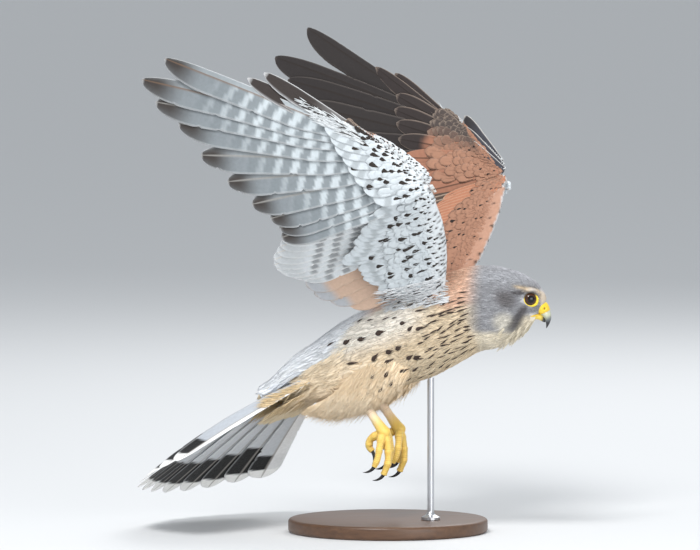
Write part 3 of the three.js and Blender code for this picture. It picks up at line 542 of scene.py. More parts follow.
def buildVanes(name, vanes, *nodes):
    made = []
    x0 = np.array(vaneSet["columns"])
    x = np.concatenate([x0, x0[::-1]])  # both faces keep their own edges, so each has its own colour
    under = np.concatenate([np.zeros(len(x0), bool), np.ones(len(x0), bool)])
    ring = len(x)
    first = 0
    for number, f in enumerate(vanes):
        stations = f.get("stations", vaneSet["stations"])
        u = np.linspace(0, 1, stations)
        places, shares, roundFrom = vaneSet[f["outline"]]
        share = np.interp(u, places, shares)
        share = np.convolve(np.pad(share, 3, mode="edge"), np.ones(7) / 7, "valid")
        share = share * np.sqrt(np.clip(1 - np.clip((u - roundFrom) / (1 - roundFrom), 0, 1) ** 2, 0.01, 1))
        along = unit(f["along"])
        flat = unit(f["leading"] - along * np.dot(f["leading"], along))
        lift = unit(np.cross(along, flat))
        if np.dot(lift, f["up"]) < 0:
            lift = -lift
        turn = (math.radians(f.get("tilt", 0)) * (1 - f.get("untwist", 0) * u))[:, None]
        edge = flat * np.cos(turn) + lift * np.sin(turn)
        face = lift * np.cos(turn) - flat * np.sin(turn)
        bow = 4 * u * (1 - u)
        middle = f["root"] + along * (u * f["length"])[:, None] + lift * (f.get("arch", 0) * bow)[:, None]
        middle = middle + flat * (f.get("bend", 0) * bow)[:, None]
        web = np.where(x > 0, f["lead"], f["trail"]) * x
        ragged = np.ones((stations, ring))
        for k in range(vaneSet["splits"]):
            at = 0.45 + 0.5 * scatter(number, k, 1.7)
            deep = 0.05 + 0.1 * scatter(number, k, 2.9)
            which = scatter(number, k, 4.1) < 0.7
            place = u[:, None] - 0.06 * np.abs(x)[None, :]
            notch = deep * np.exp(-((place - at) / 0.007) ** 2) * (np.abs(x) > 0.8)[None, :]
            ragged -= notch * ((x < 0) if which else (x > 0))[None, :]
        fray = scatter(np.arange(stations)[:, None], number + x[None, :] * 0, 3.3) - 0.5
        ragged += 0.012 * fray * (np.abs(x) > 0.9)
        offset = web[None, :] * share[:, None] * ragged
        half = vaneSet["thick"] / 2 * (1 - 0.45 * np.abs(x))[None, :] * (1 - 0.4 * u)[:, None]
        rachis = vaneSet["shaft"] * (1 - 0.8 * u)[:, None] * (np.abs(x) < 0.05)[None, :]
        high = (half + rachis) * np.where(under, -1, 1)[None, :]
        high = high - vaneSet["camber"] * (np.abs(offset) / max(f["lead"], f["trail"])) ** 2
        grid = middle[:, None] + edge[:, None] * offset[..., None] + face[:, None] * high[..., None]
        points = grid.reshape(-1, 3)
        quads, tris = facedOut(points, *bladeFaces(stations, ring))
        us, xs = np.broadcast_arrays(u[:, None], x[None, :])
        topSide = np.broadcast_to(~under[None, :], us.shape)
        colours = f["paint"](f, us, xs, topSide)
        column = (number + 0.5) / len(vanes)
        wide = 0.45 / len(vanes)
        charts = np.stack([column + xs * wide * np.where(topSide, 1, 0.98), 0.02 + 0.96 * us], -1)
        barb = (us * f["length"] - np.abs(offset) * 0.9) * 0.45
        vane = np.stack([barb, offset * 0.02, xs * 0], -1)
        made.append((
            points, quads + first, tris + first, colours.reshape(-1, 3), charts.reshape(-1, 2),
            vane.reshape(-1, 3),
        ))
        first += len(points)
    piece = makeMesh(name, *(np.vstack(arrays) for arrays in zip(*made)))
    return finishPiece(piece, name, vaneMaterial, "feather_pale", *nodes)


# colours of the big feathers; u runs from root to tip and x from the trailing edge to the leading one
def bars(place, period, share):
    phase = np.mod(place / period, 1)
    return step(0, 0.06, phase) * (1 - step(share, share + 0.06, phase))


def rims(f, u, x, colour, pale, edge=0.9, tip=1.6, strength=0.85):
    left = (1 - u) * f["length"]
    rim = np.maximum(step(edge, 0.99, np.abs(x)), 1 - step(tip * 0.5, tip, left))
    return blend(colour, pale, rim * strength)


def shaft(colour, x, tint, wide=0.08):
    return blend(colour, tint, (np.abs(x) < wide) * 0.85)


def paintPrimary(f, u, x, top):
    place = u * f["length"]
    inner = step(0.02, 0.14, -x)
    ground = blend(flood(u, 190, 198, 202), tone(118, 124, 128), step(0.5, 0.8, u) * 0.9)
    slant = place - np.abs(x + 0.1) * 4 + f["i"] * 3.4 + 1.6 * np.sin(f["i"] * 2.3)
    bar = bars(slant, 12.7, 0.5 + 0.14 * step(0.3, 0.65, u)) * inner
    bar = bar * (1 - step(0.74, 0.8, u)) * step(0.08, 0.2, u)
    low = blend(ground, tone(122, 129, 133), bar * 0.88)
    low = blend(low, tone(146, 152, 155), (x > 0.1) * step(0.2, 0.5, u) * 0.75)
    smudge = step(0.8, 0.94, u) * (1 - 0.35 * x ** 2)
    low = blend(low, tone(56, 49, 45), smudge * 0.95)
    low = rims(f, u, x, low, tone(216, 218, 219), 0.92, 1.6, 0.6)
    low = shaft(low, x, tone(116, 94, 78) if f["i"] > 7 else tone(150, 148, 144), 0.05)
    high = blend(flood(u, 52, 48, 48), tone(66, 62, 60), scatter(f["i"], 3) * 0.5)
    high = rims(f, u, x, high, tone(118, 110, 104), 0.95, 1.2, 0.4)
    high = blend(high, tone(168, 120, 98), (1 - step(0.66, 0.8, u)) * (f["i"] < 4))
    high = shaft(high, x, tone(50, 44, 41), 0.05)
    return np.where(top[..., None], high, low)


def paintSecondary(f, u, x, top):
    place = u * f["length"]
    low = flood(u, 206, 211, 214)
    bar = bars(place + f["i"] * 0.8, 14.5, 0.46) * (1 - step(0.78, 0.86, u)) * step(0.1, 0.3, u)
    low = blend(low, tone(126, 129, 131), bar * 0.82)
    low = blend(low, tone(188, 192, 194), step(0.82, 0.88, u) * 0.9)
    low = rims(f, u, x, low, tone(234, 236, 238), 0.86, 2.4)
    low = shaft(low, x, tone(205, 198, 188))
    high = flood(u, 88, 74, 66)
    high = rims(f, u, x, high, tone(214, 194, 174), 0.9, 2.4)
    high = shaft(high, x, tone(48, 40, 36))
    return np.where(top[..., None], high, low)


def paintTertial(f, u, x, top):
    place = u * f["length"]
    low = flood(u, 200, 172, 152)
    low = blend(low, tone(166, 178, 188), step(0.8, 0.9, u) * 0.8 * (f["i"] < 3))
    # painted shade: the underside is darker towards the root, in the fold between the lobes
    low = blend(low, tone(150, 118, 98), (1 - step(0.35, 0.75, u)) * 0.35)
    low = rims(f, u, x, low, tone(224, 202, 182), 0.9, 1.8, 0.35)
    high = flood(u, 172, 112, 82)
    high = blend(high, tone(44, 38, 36), bars(place + np.abs(x) * 5, 17, 0.3) * step(0.3, 0.5, u) * 0.9)
    high = rims(f, u, x, high, tone(222, 190, 160), 0.9, 2.2)
    return np.where(top[..., None], high, low)


def paintHandCovert(f, u, x, top):
    left = (1 - u) * f["length"]
    if f["i"] > 7:
        low = blend(flood(u, 62, 56, 54), tone(150, 148, 147), (1 - step(0.3, 0.6, u)) * 0.7)
        low = rims(f, u, x, low, tone(222, 223, 224), 0.8, 2.4, 0.9)
    else:
        low = flood(u, 206, 212, 215)
        low = blend(low, tone(120, 114, 110), bars(left + np.abs(x) * 3, 12, 0.42) * 0.7)
        low = rims(f, u, x, low, tone(226, 229, 231))
    high = flood(u, 60, 54, 53)
    high = rims(f, u, x, high, tone(158, 142, 130), 0.9, 1.8, 0.7)
    bare = np.interp(f["i"], (0, 3, 4, 6, 9), (1.3, 1.1, 0.7, 0.46, 0.3))
    high = blend(high, tone(168, 120, 98), 1 - step(bare - 0.06, bare + 0.06, u + 0.05 * x ** 2))
    high = shaft(high, x, tone(46, 40, 37))
    return np.where(top[..., None], high, low)


def dropMarks(left, x, first, period, long, wide, count):  # dark drops along the shaft, counted from the tip
    row = np.floor((left - first) / period + 0.5)
    gap = (left - first) - row * period
    inside = (gap / (long / 2)) ** 2 + (x / (wide * (1 - 0.5 * gap / long))) ** 2
    return (1 - step(0.6, 1.25, inside)) * (row >= 0) * (row < count)


def paintUnderCovert(f, u, x, top):
    left = (1 - u) * f["length"]
    low = flood(u, 200, 207, 211)
    bar = bars(left + np.abs(x) * 3 + 4, 12.7, 0.42) * 0.5 * (1 - step(0.5, 0.8, left / f["length"]))
    low = blend(low, tone(130, 136, 139), bar)
    return rims(f, u, x, low, tone(222, 226, 228), 0.88, 1.4, 0.4)


def paintUpperCovert(f, u, x, top):
    left = (1 - u) * f["length"]
    high = flood(u, 184, 127, 100)
    high = blend(high, tone(46, 40, 38), dropMarks(left, x, 9, 40, 8, 0.42, 1) * 0.9)
    high = rims(f, u, x, high, tone(222, 186, 158), 0.86, 2.2, 0.7)
    low = flood(u, 214, 214, 210)
    return np.where(top[..., None], high, low)


def paintAlula(f, u, x, top):
    high = blend(flood(u, 74, 75, 82), tone(58, 56, 58), step(0.5, 0.9, u))
    high = rims(f, u, x, high, tone(224, 220, 214), 0.8, 2.0, 0.9)
    low = rims(f, u, x, flood(u, 204, 209, 212), tone(226, 230, 232), 0.8, 2.0)
    return np.where(top[..., None], high, low)


tailSet = {"tip": 10.5, "band": (24, 26, 29, 32, 35, 20)}


def paintRectrix(f, u, x, top):
    left = (1 - u) * f["length"] + 1.2 * np.abs(x) ** 2 - 3.2 * x ** 2
    outer = step(0.02, 0.12, x) * (f["i"] == 5)
    long = tailSet["tip"] + tailSet["band"][f["i"]]
    band = step(tailSet["tip"] - 0.7, tailSet["tip"] + 0.7, left) * (1 - step(long - 0.8, long + 0.8, left))
    low = blend(flood(u, 204, 208, 212), tone(216, 219, 222), np.abs(x) * 0.6)
    low = blend(low, tone(232, 234, 236), (1 - step(0.1, 0.4, u)) * 0.5)
    high = flood(u, 184, 189, 196)
    colour = np.where(top[..., None], high, low)
    colour = blend(colour, tone(242, 242, 241), outer * 0.95)
    colour = blend(colour, tone(12, 11, 12), band * (1 - outer * 0.9))
    colour = blend(colour, tone(252, 251, 248), 1 - step(tailSet["tip"] - 0.7, tailSet["tip"] + 0.7, left))
    colour = rims(f, u, x, colour, tone(236, 237, 238), 0.95, 0.5, 0.4)
    return shaft(colour, x, tone(160, 154, 148), 0.04)


def paintTailCovert(f, u, x, top):
    if f["face"] > 0:
        return rims(f, u, x, flood(u, 205, 210, 217), tone(222, 226, 231), 0.8, 2.0, 0.6)
    return rims(f, u, x, flood(u, 226, 208, 172), tone(238, 224, 196), 0.8, 2.0, 0.6)


wingSet = {
    "primaryLength": {
        1: (114, 110, 111, 118, 129, 143, 158, 174, 187, 166),
        -1: (114, 110, 111, 118, 129, 143, 156, 170, 178, 161),
    },
    "primaryAngle": {
        1: (-10.5, -9.5, -7.5, -3, 4, 11.5, 19.5, 23.6, 26.9, 36.4),
        -1: (-10.5, -9.5, -7.5, -3, 4, 11, 18.3, 21.7, 25.5, 31.8),
    },
    "primaryLead": (9, 9, 9, 9, 9, 8.5, 8, 7, 5.5, 4),
    "primaryTrail": (12, 12, 12.5, 13, 13, 13.5, 14, 14, 14, 14),
    "secondaryLength": (117, 117, 117, 118, 119, 117, 113, 107, 98, 88),
    "secondaryAngle": (5, 5, 4.6, 4, 3.4, 2.8, 2.4, 2, 1.4, 0),
    "tertialLength": (86, 87, 82, 74), "tertialAngle": (-3, -3.6, -4.6, -5),
    "handCovertLength": {
        1: (70, 71, 73, 75, 77, 78, 79, 78, 101, 78), -1: (70, 71, 73, 75, 77, 78, 79, 78, 108, 94),
    },
    "handCovertAngle": {
        1: (-4, -1, 3, 9, 17, 23, 28, 34, 40, 43), -1: (-4, -1, 3, 9, 17, 23, 28, 33, 38, 43),
    },
    "alulaLength": (44, 49, 51), "alulaAngle": (40, 45.6, 52),
}
handFold = (0.6, 0.75, 0.9, 1, 1, 1, 1, 1, 1, 1)
armFold = (0.45, 0.3, 0.15, 0, 0, 0, 0, 0, 0, 0)


def between(a, b, share):
    return a + (b - a) * share


def wingFeathers(side):
    s = wingSet
    made = []

    def add(root, along, leading, normal, **more):
        made.append({
            "root": inTrunk(root, side), "along": alongTrunk(along, side),
            "leading": alongTrunk(leading, side), "up": alongTrunk(normal, side), **more,
        })

    def addHand(root, angle, normal, **more):
        add(root, inHand(angle), inHand(angle + 90), normal, **more)

    def addArm(root, angle, normal, **more):
        add(root, inArm(angle), armSpan, normal, **more)

    for i in range(10):
        normal = between(armNormal, handNormal, handFold[i])
        addHand(
            onHand(6 + 52 * i / 9, -2), s["primaryAngle"][side][i], normal,
            length=s["primaryLength"][side][i], lead=s["primaryLead"][i], trail=s["primaryTrail"][i],
            outline="flight", tilt=6.5, arch=2, bend=2.5 if i in (7, 8) else 0,
            paint=paintPrimary, i=i, stations=80,
        )
        addHand(
            onHand(6 + 49 * i / 9, -2 if i > 7 else 0, between(4.2, 2.6, i / 9)),
            s["handCovertAngle"][side][i], normal, length=s["handCovertLength"][side][i],
            lead=4.5 if i > 7 else 7, trail=8, outline="covert", tilt=7, paint=paintHandCovert, i=i,
            stations=26,
        )
        addArm(
            onForearm(4 + 49 * i / 9, 2), s["secondaryAngle"][i], between(armNormal, handNormal, armFold[i]),
            length=s["secondaryLength"][i], lead=9, trail=12, outline="flight", tilt=5, arch=2,
            paint=paintSecondary, i=i,
        )
    for i in range(4):
        addArm(
            onUpperArm(3 + 9 * i, 2), s["tertialAngle"][i], armNormal, length=s["tertialLength"][i],
            lead=11, trail=13, outline="flight", tilt=7, arch=3, paint=paintTertial, i=i,
        )
    for k, i in enumerate(np.linspace(0, 8.2, 8)):
        addHand(
            onHand(7 + 49 * i / 9, 0, between(-4.4, -2.4, i / 9)), between(-6, 31, i / 8),
            between(armNormal, handNormal, min(1, 0.6 + 0.15 * i)), length=38 + 4 * scatter(k, 2), lead=7,
            trail=8.5, outline="covert", tilt=5, paint=paintUnderCovert, i=k, stations=48,
        )
    for face, paint in ((1, paintUpperCovert), (-1, paintUnderCovert)):
        shared = {"lead": 5, "trail": 6.5, "outline": "covert", "paint": paint, "stations": 26}
        for k, fromWrist in enumerate(np.linspace(3, 53, 13)):
            root = onForearm(fromWrist, 4, face * 4.4)
            addArm(root, 3, armNormal, length=48 + 6 * scatter(k, face), tilt=6, i=k, **shared)
        for k, fromElbow in enumerate(np.linspace(5, 34, 7)):
            root = onUpperArm(fromElbow, 4, face * 4.4)
            addArm(root, -2, armNormal, length=43 + 6 * scatter(k, face, 2), tilt=5, i=k, **shared)
    for i in range(3):
        addHand(
            onHand(5 + 3.5 * i, 5 + i, 3.2 - 0.6 * i), s["alulaAngle"][i] - (10 if side < 0 else 0),
            handNormal, length=s["alulaLength"][i], lead=4.5, trail=7, outline="covert", tilt=10, arch=2.5,
            paint=paintAlula, i=i, stations=26,
        )
    return made


fanSet = {
    "at": (-46.4, 17.7, 116), "yaw": 11, "pitch": 33.4, "roll": 10, "reach": (163, 163, 161, 158, 153, 150),
    "spread": 44.5, "fall": 6.5, "step": 2.2, "raise": 7,
    "tilt": {1: (1, 3, 3, 3, 3, 3), -1: (1, -8, -18, -30, -42, -50)},
    "lead": {1: (11, 11.2, 11.4, 11.6, 11.8, 12), -1: (11, 11, 10, 8.5, 7, 5.5)},
}


def tailFeathers():
    ahead, left, up = attitude(fanSet["yaw"], fanSet["pitch"], fanSet["roll"])
    start = np.array(fanSet["at"], float)
    made = []

    def inTail(side, degrees):
        turn = math.radians(degrees)
        fall = math.radians(fanSet["fall"] * (degrees / fanSet["spread"]) ** 2)
        level = -ahead * math.cos(turn) + left * side * math.sin(turn)
        return level * math.cos(fall) - up * math.sin(fall)

    def add(side, back, out, rise, degrees, reach, tipRise, **more):
        root = start - ahead * back + left * side * out + up * rise
        along = start + inTail(side, degrees) * reach + up * tipRise - root
        leading = unit(inTail(side, degrees + 3) - inTail(side, degrees - 3))
        made.append({
            "root": root, "along": unit(along), "leading": leading, "up": up,
            "length": np.linalg.norm(along), **more,
        })

    for side in (1, -1):
        for i, reach in enumerate(fanSet["reach"]):
            top = 0.8 + 0.9 * max(side, 0) if i == 0 else 0
            add(
                side, 9, fanSet["step"] * (i + 0.5), fanSet["raise"] + top - 0.85 * i - 4 * (i / 5) ** 2,
                fanSet["spread"] * (i + 0.5) / 5.5, reach, 0, lead=fanSet["lead"][side][i],
                trail=12 if i == 0 else 16, outline="tail", tilt=fanSet["tilt"][side][i], arch=2,
                paint=paintRectrix, i=i, stations=80, untwist=0.85,
            )
    for face, row in ((1, np.linspace(-1.7, 1.7, 9)), (-1, np.linspace(-2.2, 2.2, 11))):
        for k, i in enumerate(row):
            away = abs(i)
            add(
                1 if i >= 0 else -1, 4, 4 * away, 13 - 2.2 * away if face > 0 else -11 + 2 * away,
                (12 if face > 0 else 14) * away,
                (74 if face > 0 else 62) - 5 * away + 5 * scatter(k, face), 5 * face,
                lead=6, trail=6, outline="covert", tilt=3, paint=paintTailCovert, face=face, i=0, stations=26,
            )
    return made


bigVanes = {}
for side, word in sides:
    nodes = ["wing_%s_arm" % word, "wing_%s_hand" % word]
    bigVanes[side] = buildVanes("flight_" + word, wingFeathers(side), *nodes)
bigVanes[0] = buildVanes("tail_fan", tailFeathers(), "tail")
stage("flight feathers and tail")


# skin under the coat
skinSet = {
    "voxel": 1.4, "body": 2.0, "head": 1.1, "arm": 1.0, "hand": 0.8, "thigh": 2.4, "smooth": 3,
    "every": 5, "nearest": 6,
}
headSet = {"eye": (103.7, 175.8), "middle": -34, "eyeOut": 9.4, "eyeRadius": 5.6, "eyeTurn": 14}
armSections = (
    (-12, -8, -44, 13), (4, 2, -38, 13), (22, 13, -32, 12), (41, 22, -27, 11.5), (58, 28, -15, 11),
    (72, 31, 2, 10.5),
)
handSections = ((13, 162, 4, 17, 9), (30, 142, 4.5, 12, 8.5), (48, 142, 4, 8, 7.2), (61, 142, 2, 4, 4.8))
thighSteps = (
    ((-48, 13, -30), 19, 9), ((-72, 15.5, -42), 18, 11), ((-95, 16.5, -52), 13.5, 9.5),
    ((-115, 16.5, -56.5), 10, 7.5), ((-131, 15, -55), 6, 5), ((-144, 14, -51.5), 1, 2),
)


def onHead(forward, up, out):
    return np.array([headSet["eye"][0] + forward, headSet["middle"] + out, headSet["eye"][1] + up])


def eyeAxis(side):
    turn = math.radians(headSet["eyeTurn"])
    return np.array([math.sin(turn), side * math.cos(turn), 0])


def eyeCentre(side):
    return onHead(0, 0, side * headSet["eyeOut"])


def wristRing(side, grow, around):
    normal = unit(between(armNormal, handNormal, 0.5))
    centre = inTrunk(wrist + 8 * backward, side)
    ahead, normal = alongTrunk(-backward, side), alongTrunk(normal, side)
    return oval(centre, ahead, normal, 10 + grow, 5.1 + grow, around, 0.3)


def armRings(side, grow, around=40):
    rings = []
    for up, front, back, thick in armSections:
        centre = armSpan * up + armAhead * (front + back) / 2 + np.array([0, pose["shoulderOut"], 0])
        across, normal = alongTrunk(armAhead, side), alongTrunk(armNormal, side)
        wide, high = (front - back) / 2 + grow, thick / 2 + grow
        rings.append(oval(inTrunk(centre, side), across, normal, wide, high, around, 0.3))
    rings.append(wristRing(side, grow, around))
    return rings


def handRings(side, grow, around=40):
    rings = [wristRing(side, grow, around)]
    for up, turn, front, back, thick in handSections:
        centre = wrist + up * handAxis + (front - back) / 2 * inHand(turn)
        across, normal = alongTrunk(inHand(turn), side), alongTrunk(handNormal, side)
        wide, high = (front + back) / 2 + grow, thick / 2 + grow
        rings.append(oval(inTrunk(centre, side), across, normal, wide, high, around, 0.3))
    return rings


def thighAt(side, k, theta, grow=0.0):
    k, theta, grow = together(k, theta, grow)
    flat, grow = k.ravel(), grow.ravel()
    centre = throughPoints([s[0] for s in thighSteps], flat)
    high, wide = np.maximum(throughPoints([s[1:] + (0,) for s in thighSteps], flat)[:, :2].T, 0.4)
    ahead, up = alongTrunk((-0.92, 0, -0.39), side), alongTrunk((-0.39, 0, 0.92), side)
    across = unit(np.cross(ahead, up))
    a = np.radians(theta.ravel())[:, None]
    spread = across * np.sin(a) * (wide + grow)[:, None] + up * np.cos(a) * (high + grow)[:, None]
    return (inTrunk(centre, side) + spread).reshape(*k.shape, 3)


def smoothRings(rings, count):
    rings = np.asarray(rings)
    t = np.linspace(0, len(rings) - 1, count)
    return np.stack([throughPoints(rings[:, i], t) for i in range(rings.shape[1])], 1)


def ballAt(place, radius, segments, rings):
    bpy.ops.mesh.primitive_uv_sphere_add(
        segments=segments, ring_count=rings, radius=radius * mm, location=Vector(place) * mm,
    )
    return bpy.context.object


def buildSkin():
    t = np.linspace(0, 12.9, 110)[:, None]
    theta = np.arange(0, 360, 6.0)[None, :]
    shrink = -np.where(t < 4.5, skinSet["head"], skinSet["body"])
    parts = [tube("bodyForm", bodyAt(t, theta, shrink))]
    for side in (1, -1):
        parts.append(tube("armForm", smoothRings(armRings(side, -skinSet["arm"]), 30)))
        parts.append(tube("handForm", smoothRings(handRings(side, -skinSet["hand"]), 30)))
        k = np.linspace(0, 4.8, 40)[:, None]
        thin = np.minimum(skinSet["thigh"], 0.4 + 0.5 * (5 - k))
        parts.append(tube("thighForm", thighAt(side, k, np.arange(0, 360, 12.0)[None, :], -thin)))
        spine, outs = ((-8.5, 4.6), (-3, 6.6), (3.5, 6.4), (9, 3.6)), (12.2, 13.6, 12.6, 9.0)
        ridge = smoothLine([onHead(a, b, side * o) for (a, b), o in zip(spine, outs)], 16)
        radii = np.interp(np.linspace(0, 3, 16), (0, 1, 2, 3), (0.8, 1.7, 1.7, 0.8))
        parts.append(tube("browForm", limbRings(ridge, radii, 14, (0, 0, 1))))
    pick(*parts)
    bpy.ops.object.join()
    skin = bpy.context.object
    remesh = skin.modifiers.new("oneSkin", "REMESH")
    remesh.mode = "VOXEL"
    remesh.voxel_size = skinSet["voxel"] * mm
    bpy.ops.object.modifier_apply(modifier=remesh.name)
    soften = skin.modifiers.new("soften", "SMOOTH")
    soften.factor = 0.5
    soften.iterations = skinSet["smooth"]
    bpy.ops.object.modifier_apply(modifier=soften.name)
    for side in (1, -1):
        ball = ballAt(eyeCentre(side), headSet["eyeRadius"] + 0.1, 40, 24)
        pick(skin)
        cut = skin.modifiers.new("socket", "BOOLEAN")
        cut.operation = "DIFFERENCE"
        cut.object = ball
        bpy.ops.object.modifier_apply(modifier=cut.name)
        bpy.data.objects.remove(ball)
    for polygon in skin.data.polygons:
        polygon.use_smooth = True
    return skin


skin = buildSkin()
stage("skin of %d faces" % len(skin.data.polygons))


# surfaces the coat grows on
def treeOf(*objects):
    points, faces, first = [], [], 0
    for o in objects:
        points.append(pointsOf(o) / mm)
        o.data.calc_loop_triangles()
        tri = np.empty(len(o.data.loop_triangles) * 3, int)
        o.data.loop_triangles.foreach_get("vertices", tri)
        faces.append(tri.reshape(-1, 3) + first)
        first += len(points[-1])
    return BVHTree.FromPolygons(np.vstack(points).tolist(), np.vstack(faces).tolist())


def nearestOf(points):  # a tree that finds the points nearest to a place
    tree = KDTree(len(points))
    for n, p in enumerate(points):
        tree.insert(p, n)
    tree.balance()
    return tree


def castOn(tree, points, directions, back, reach):  # the first surface met, from points drawn back
    hits = np.array(points, float)
    found = np.zeros(len(points), bool)
    for n, (p, d) in enumerate(zip(points - directions * back, directions)):
        place = tree.ray_cast(Vector(p), Vector(d), back + reach)[0]
        if place is not None:
            hits[n] = place
            found[n] = True
    return hits, found


skinTree = treeOf(skin)


def onSkin(path, normal, back=3.5, reach=4.0):  # draws a path of points down or up to the skin
    count, stations = path.shape[:2]
    hits, found = castOn(skinTree, path.reshape(-1, 3), -normal.reshape(-1, 3), back, reach)
    return hits.reshape(count, stations, 3), found.reshape(count, stations)


# plumage colours of the body
def headPaint(p, x):  # p is a point on the head, x its place across its own feather
    forward = p[..., 0] - headSet["eye"][0]
    up = p[..., 2] - headSet["eye"][1]
    out = np.abs(p[..., 1] - headSet["middle"])
    streak = 1 - step(0.08, 0.42, np.abs(x))
    colour = blend(flood(up, 180, 181, 185), tone(122, 120, 124), streak * 0.6)
    colour = blend(colour, tone(194, 196, 201), step(8, 16, up) * 0.5)
    ear = np.exp(-(((forward + 18) / 8) ** 2 + ((up + 0.2 * (forward + 18)) / 6.5) ** 2) ** 2)
    colour = blend(colour, tone(104, 99, 99), ear * 0.75 * step(4, 9, out))
    cheek = np.exp(-(((forward + 19) / 8) ** 2 + ((up + 17) / 7) ** 2) ** 2)
    colour = blend(colour, tone(236, 230, 216), cheek * (0.9 - 0.3 * streak))
    brow = np.exp(-((up - 7.4 + 0.2 * (forward + 2)) / 1.3) ** 2) * step(-14, -8, forward) * step(5, 8, out)
    colour = blend(colour, tone(222, 200, 168), brow * 0.85)
    behind = np.exp(-((up - 3.6 + 0.1 * forward) / 1.6) ** 2)
    behind = behind * step(-16, -11, forward) * (1 - step(-6, -4, forward))
    colour = blend(colour, tone(58, 50, 48), behind * 0.75 * step(6, 9, out))
    # painted shadow: a dark line just above the eye, where the brow ridge overhangs it
    browShadow = np.exp(-(((forward + 1) / 6.5) ** 2 + ((up - 5.2) / 1.7) ** 2) ** 2) * step(6, 9, out)
    colour = blend(colour, tone(52, 45, 44), browShadow * 0.8)
    lores = np.exp(-(((forward - 10.5) / 3.6) ** 2 + ((up - 1) / 6) ** 2) ** 2)
    colour = blend(colour, tone(214, 192, 160), lores * (0.85 - 0.35 * streak))
    middle = -3.9 - 0.52 * np.clip(-5.3 - up, 0, 60)
    malar = np.exp(-((forward - middle) / np.interp(-up, (5, 14, 22, 30), (2.8, 4.8, 5.2, 3.4))) ** 4)
    malar = malar * step(3.5, 6.0, -up) * (1 - step(19, 27, -up)) * step(5, 8, out)
    throat = step(9.5, 14.5, -up) * step(0.5, 3.5, forward - middle)
    throat = np.maximum(throat, step(22, 27, -up))
    throat = np.maximum(throat, step(12.5, 14.5, -up) * (1 - step(7.5, 10, out)))
    colour = blend(colour, tone(238, 228, 208), throat)
    return blend(colour, tone(70, 64, 64), malar * (0.9 - 0.35 * streak))


def bodyPaint(t, theta, u, x, seed):  # theta from 0 at the back to 180 at the belly
    colour = flood(u, 226, 207, 178)
    low = step(100, 150, theta)
    colour = blend(colour, tone(230, 213, 184), low * 0.7)
    colour = blend(colour, tone(246, 240, 230), (1 - step(72, 108, theta)) * step(6.2, 7.6, t) * 0.9)
    colour = blend(colour, tone(248, 229, 202), step(8.2, 9.6, t) * step(80, 120, theta) * 0.85)
    colour = blend(colour, tone(236, 215, 180), step(10.4, 11.4, t) * step(95, 120, theta))
    border = np.interp(t, (4.6, 6.0, 6.8, 7.6, 9.4, 10.4, 11.4), (82, 78, 56, 30, 40, 82, 104))
    back = (1 - step(border - 6, border + 6, theta)) * step(4.4, 5.0, t)
    mantle = blend(tone(232, 192, 166), tone(240, 243, 247), step(8.2, 9.2, t))
    fleck = (scatter(seed, 1.3) < 0.16) * (1 - step(0.2, 0.45, np.abs(x)))
    fleck = fleck * step(0.7, 0.8, u) * (1 - step(9.0, 9.6, t))
    mantle = blend(mantle, tone(60, 50, 46), fleck * 0.85)
    shade = 1 + 0.1 * (scatter(seed, 9.2) - 0.5)
    return blend(colour, mantle, back) * shade[..., None]


def hoodShare(p, t):  # 1 on the grey hood and throat, 0 on the body
    edge = np.interp(p[..., 2], (140, 150, 165, 200), (66, 61, 54, 52))
    return step(-2.5, 2.5, p[..., 0] - edge) * (1 - step(4.6, 5.6, t))


# contour feathers of head and body
coatAt = (0, 1.5, 4, 5.5, 8, 12.6)
coatSet = {
    "rowStep": (coatAt, (1.5, 1.5, 2.2, 2.9, 3.6, 4.2)),
    "rowGap": (coatAt, (1.5, 1.5, 2.3, 2.8, 3.3, 3.2)),
    "length": (coatAt, (2.6, 4.0, 7.5, 12, 16, 20)),
    "width": (coatAt, (1.5, 2.2, 3.8, 6.4, 8.2, 8.4)),
    "lift": ((0, 2, 5, 8, 12.6), (0.2, 0.3, 0.42, 0.5, 0.55)), "stations": 6, "columns": 5,
    "wispWidth": (0.32, 0.6), "wispTurn": 3.2, "front": 112.5, "bill": (105, 160, 166.5),
    "eyelid": (5.4, 4.7),
}


def bodyNormal(t, theta):
    a = bodyAt(t, theta, 0.0)
    return unit(bodyAt(t, theta, 1.0) - a)


def girth(t, steps):  # the way round a body or thigh section
    high, wide = (np.interp(t, range(len(steps)), [s[n] for s in steps]) for n in (1, 2))
    return 2 * np.pi * math.sqrt((high ** 2 + wide ** 2) / 2)


def bodyChart(t, theta):
    return np.stack([0.04 + 0.92 * np.mod(theta, 360) / 360, 0.03 + 0.93 * t / 13], -1)


def rootsOnBody(start, stop, gapScale=1.0):
    roots = []
    t, row = start, 0
    while t < stop:
        centreStep = np.interp(t, bodySteps, np.gradient(bodyRun, bodySteps))
        count = max(6, int(girth(t, sections) / (np.interp(t, *coatSet["rowGap"]) * gapScale)))
        for j in range(count):
            roots.append((t, 360 * (j + 0.5 * (row % 2)) / count))
        t += np.interp(t, *coatSet["rowStep"]) * gapScale / centreStep
        row += 1
    roots = np.array(roots)
    roots[:, 0] += rng.normal(0, 0.03, len(roots))
    roots[:, 1] += rng.normal(0, 1.6, len(roots))
    return roots


def bodyPaths(roots, length, stations, stray):  # points down the body from each root
    u = np.linspace(0, 1, stations)
    run = np.interp(roots[:, 0], bodySteps, bodyRun)
    t = np.interp(run[:, None] + length[:, None] * u[None, :], bodyRun, bodySteps)
    turn = rng.normal(0, stray, len(roots))[:, None] * u[None, :]
    theta = roots[:, 1:2] + turn
    return bodyAt(t, theta, -1.0), bodyNormal(t, theta), t, theta


def eyeGap(path):  # how far each point is from the line of either eye, in millimetres
    gap = np.full(path.shape[:-1], 99.0)
    for side in (1, -1):
        away = path - eyeCentre(side)
        along = away @ eyeAxis(side)
        apart = np.linalg.norm(away - along[..., None] * eyeAxis(side), axis=-1)
        gap = np.where(along > 0, np.minimum(gap, apart), gap)
    return gap


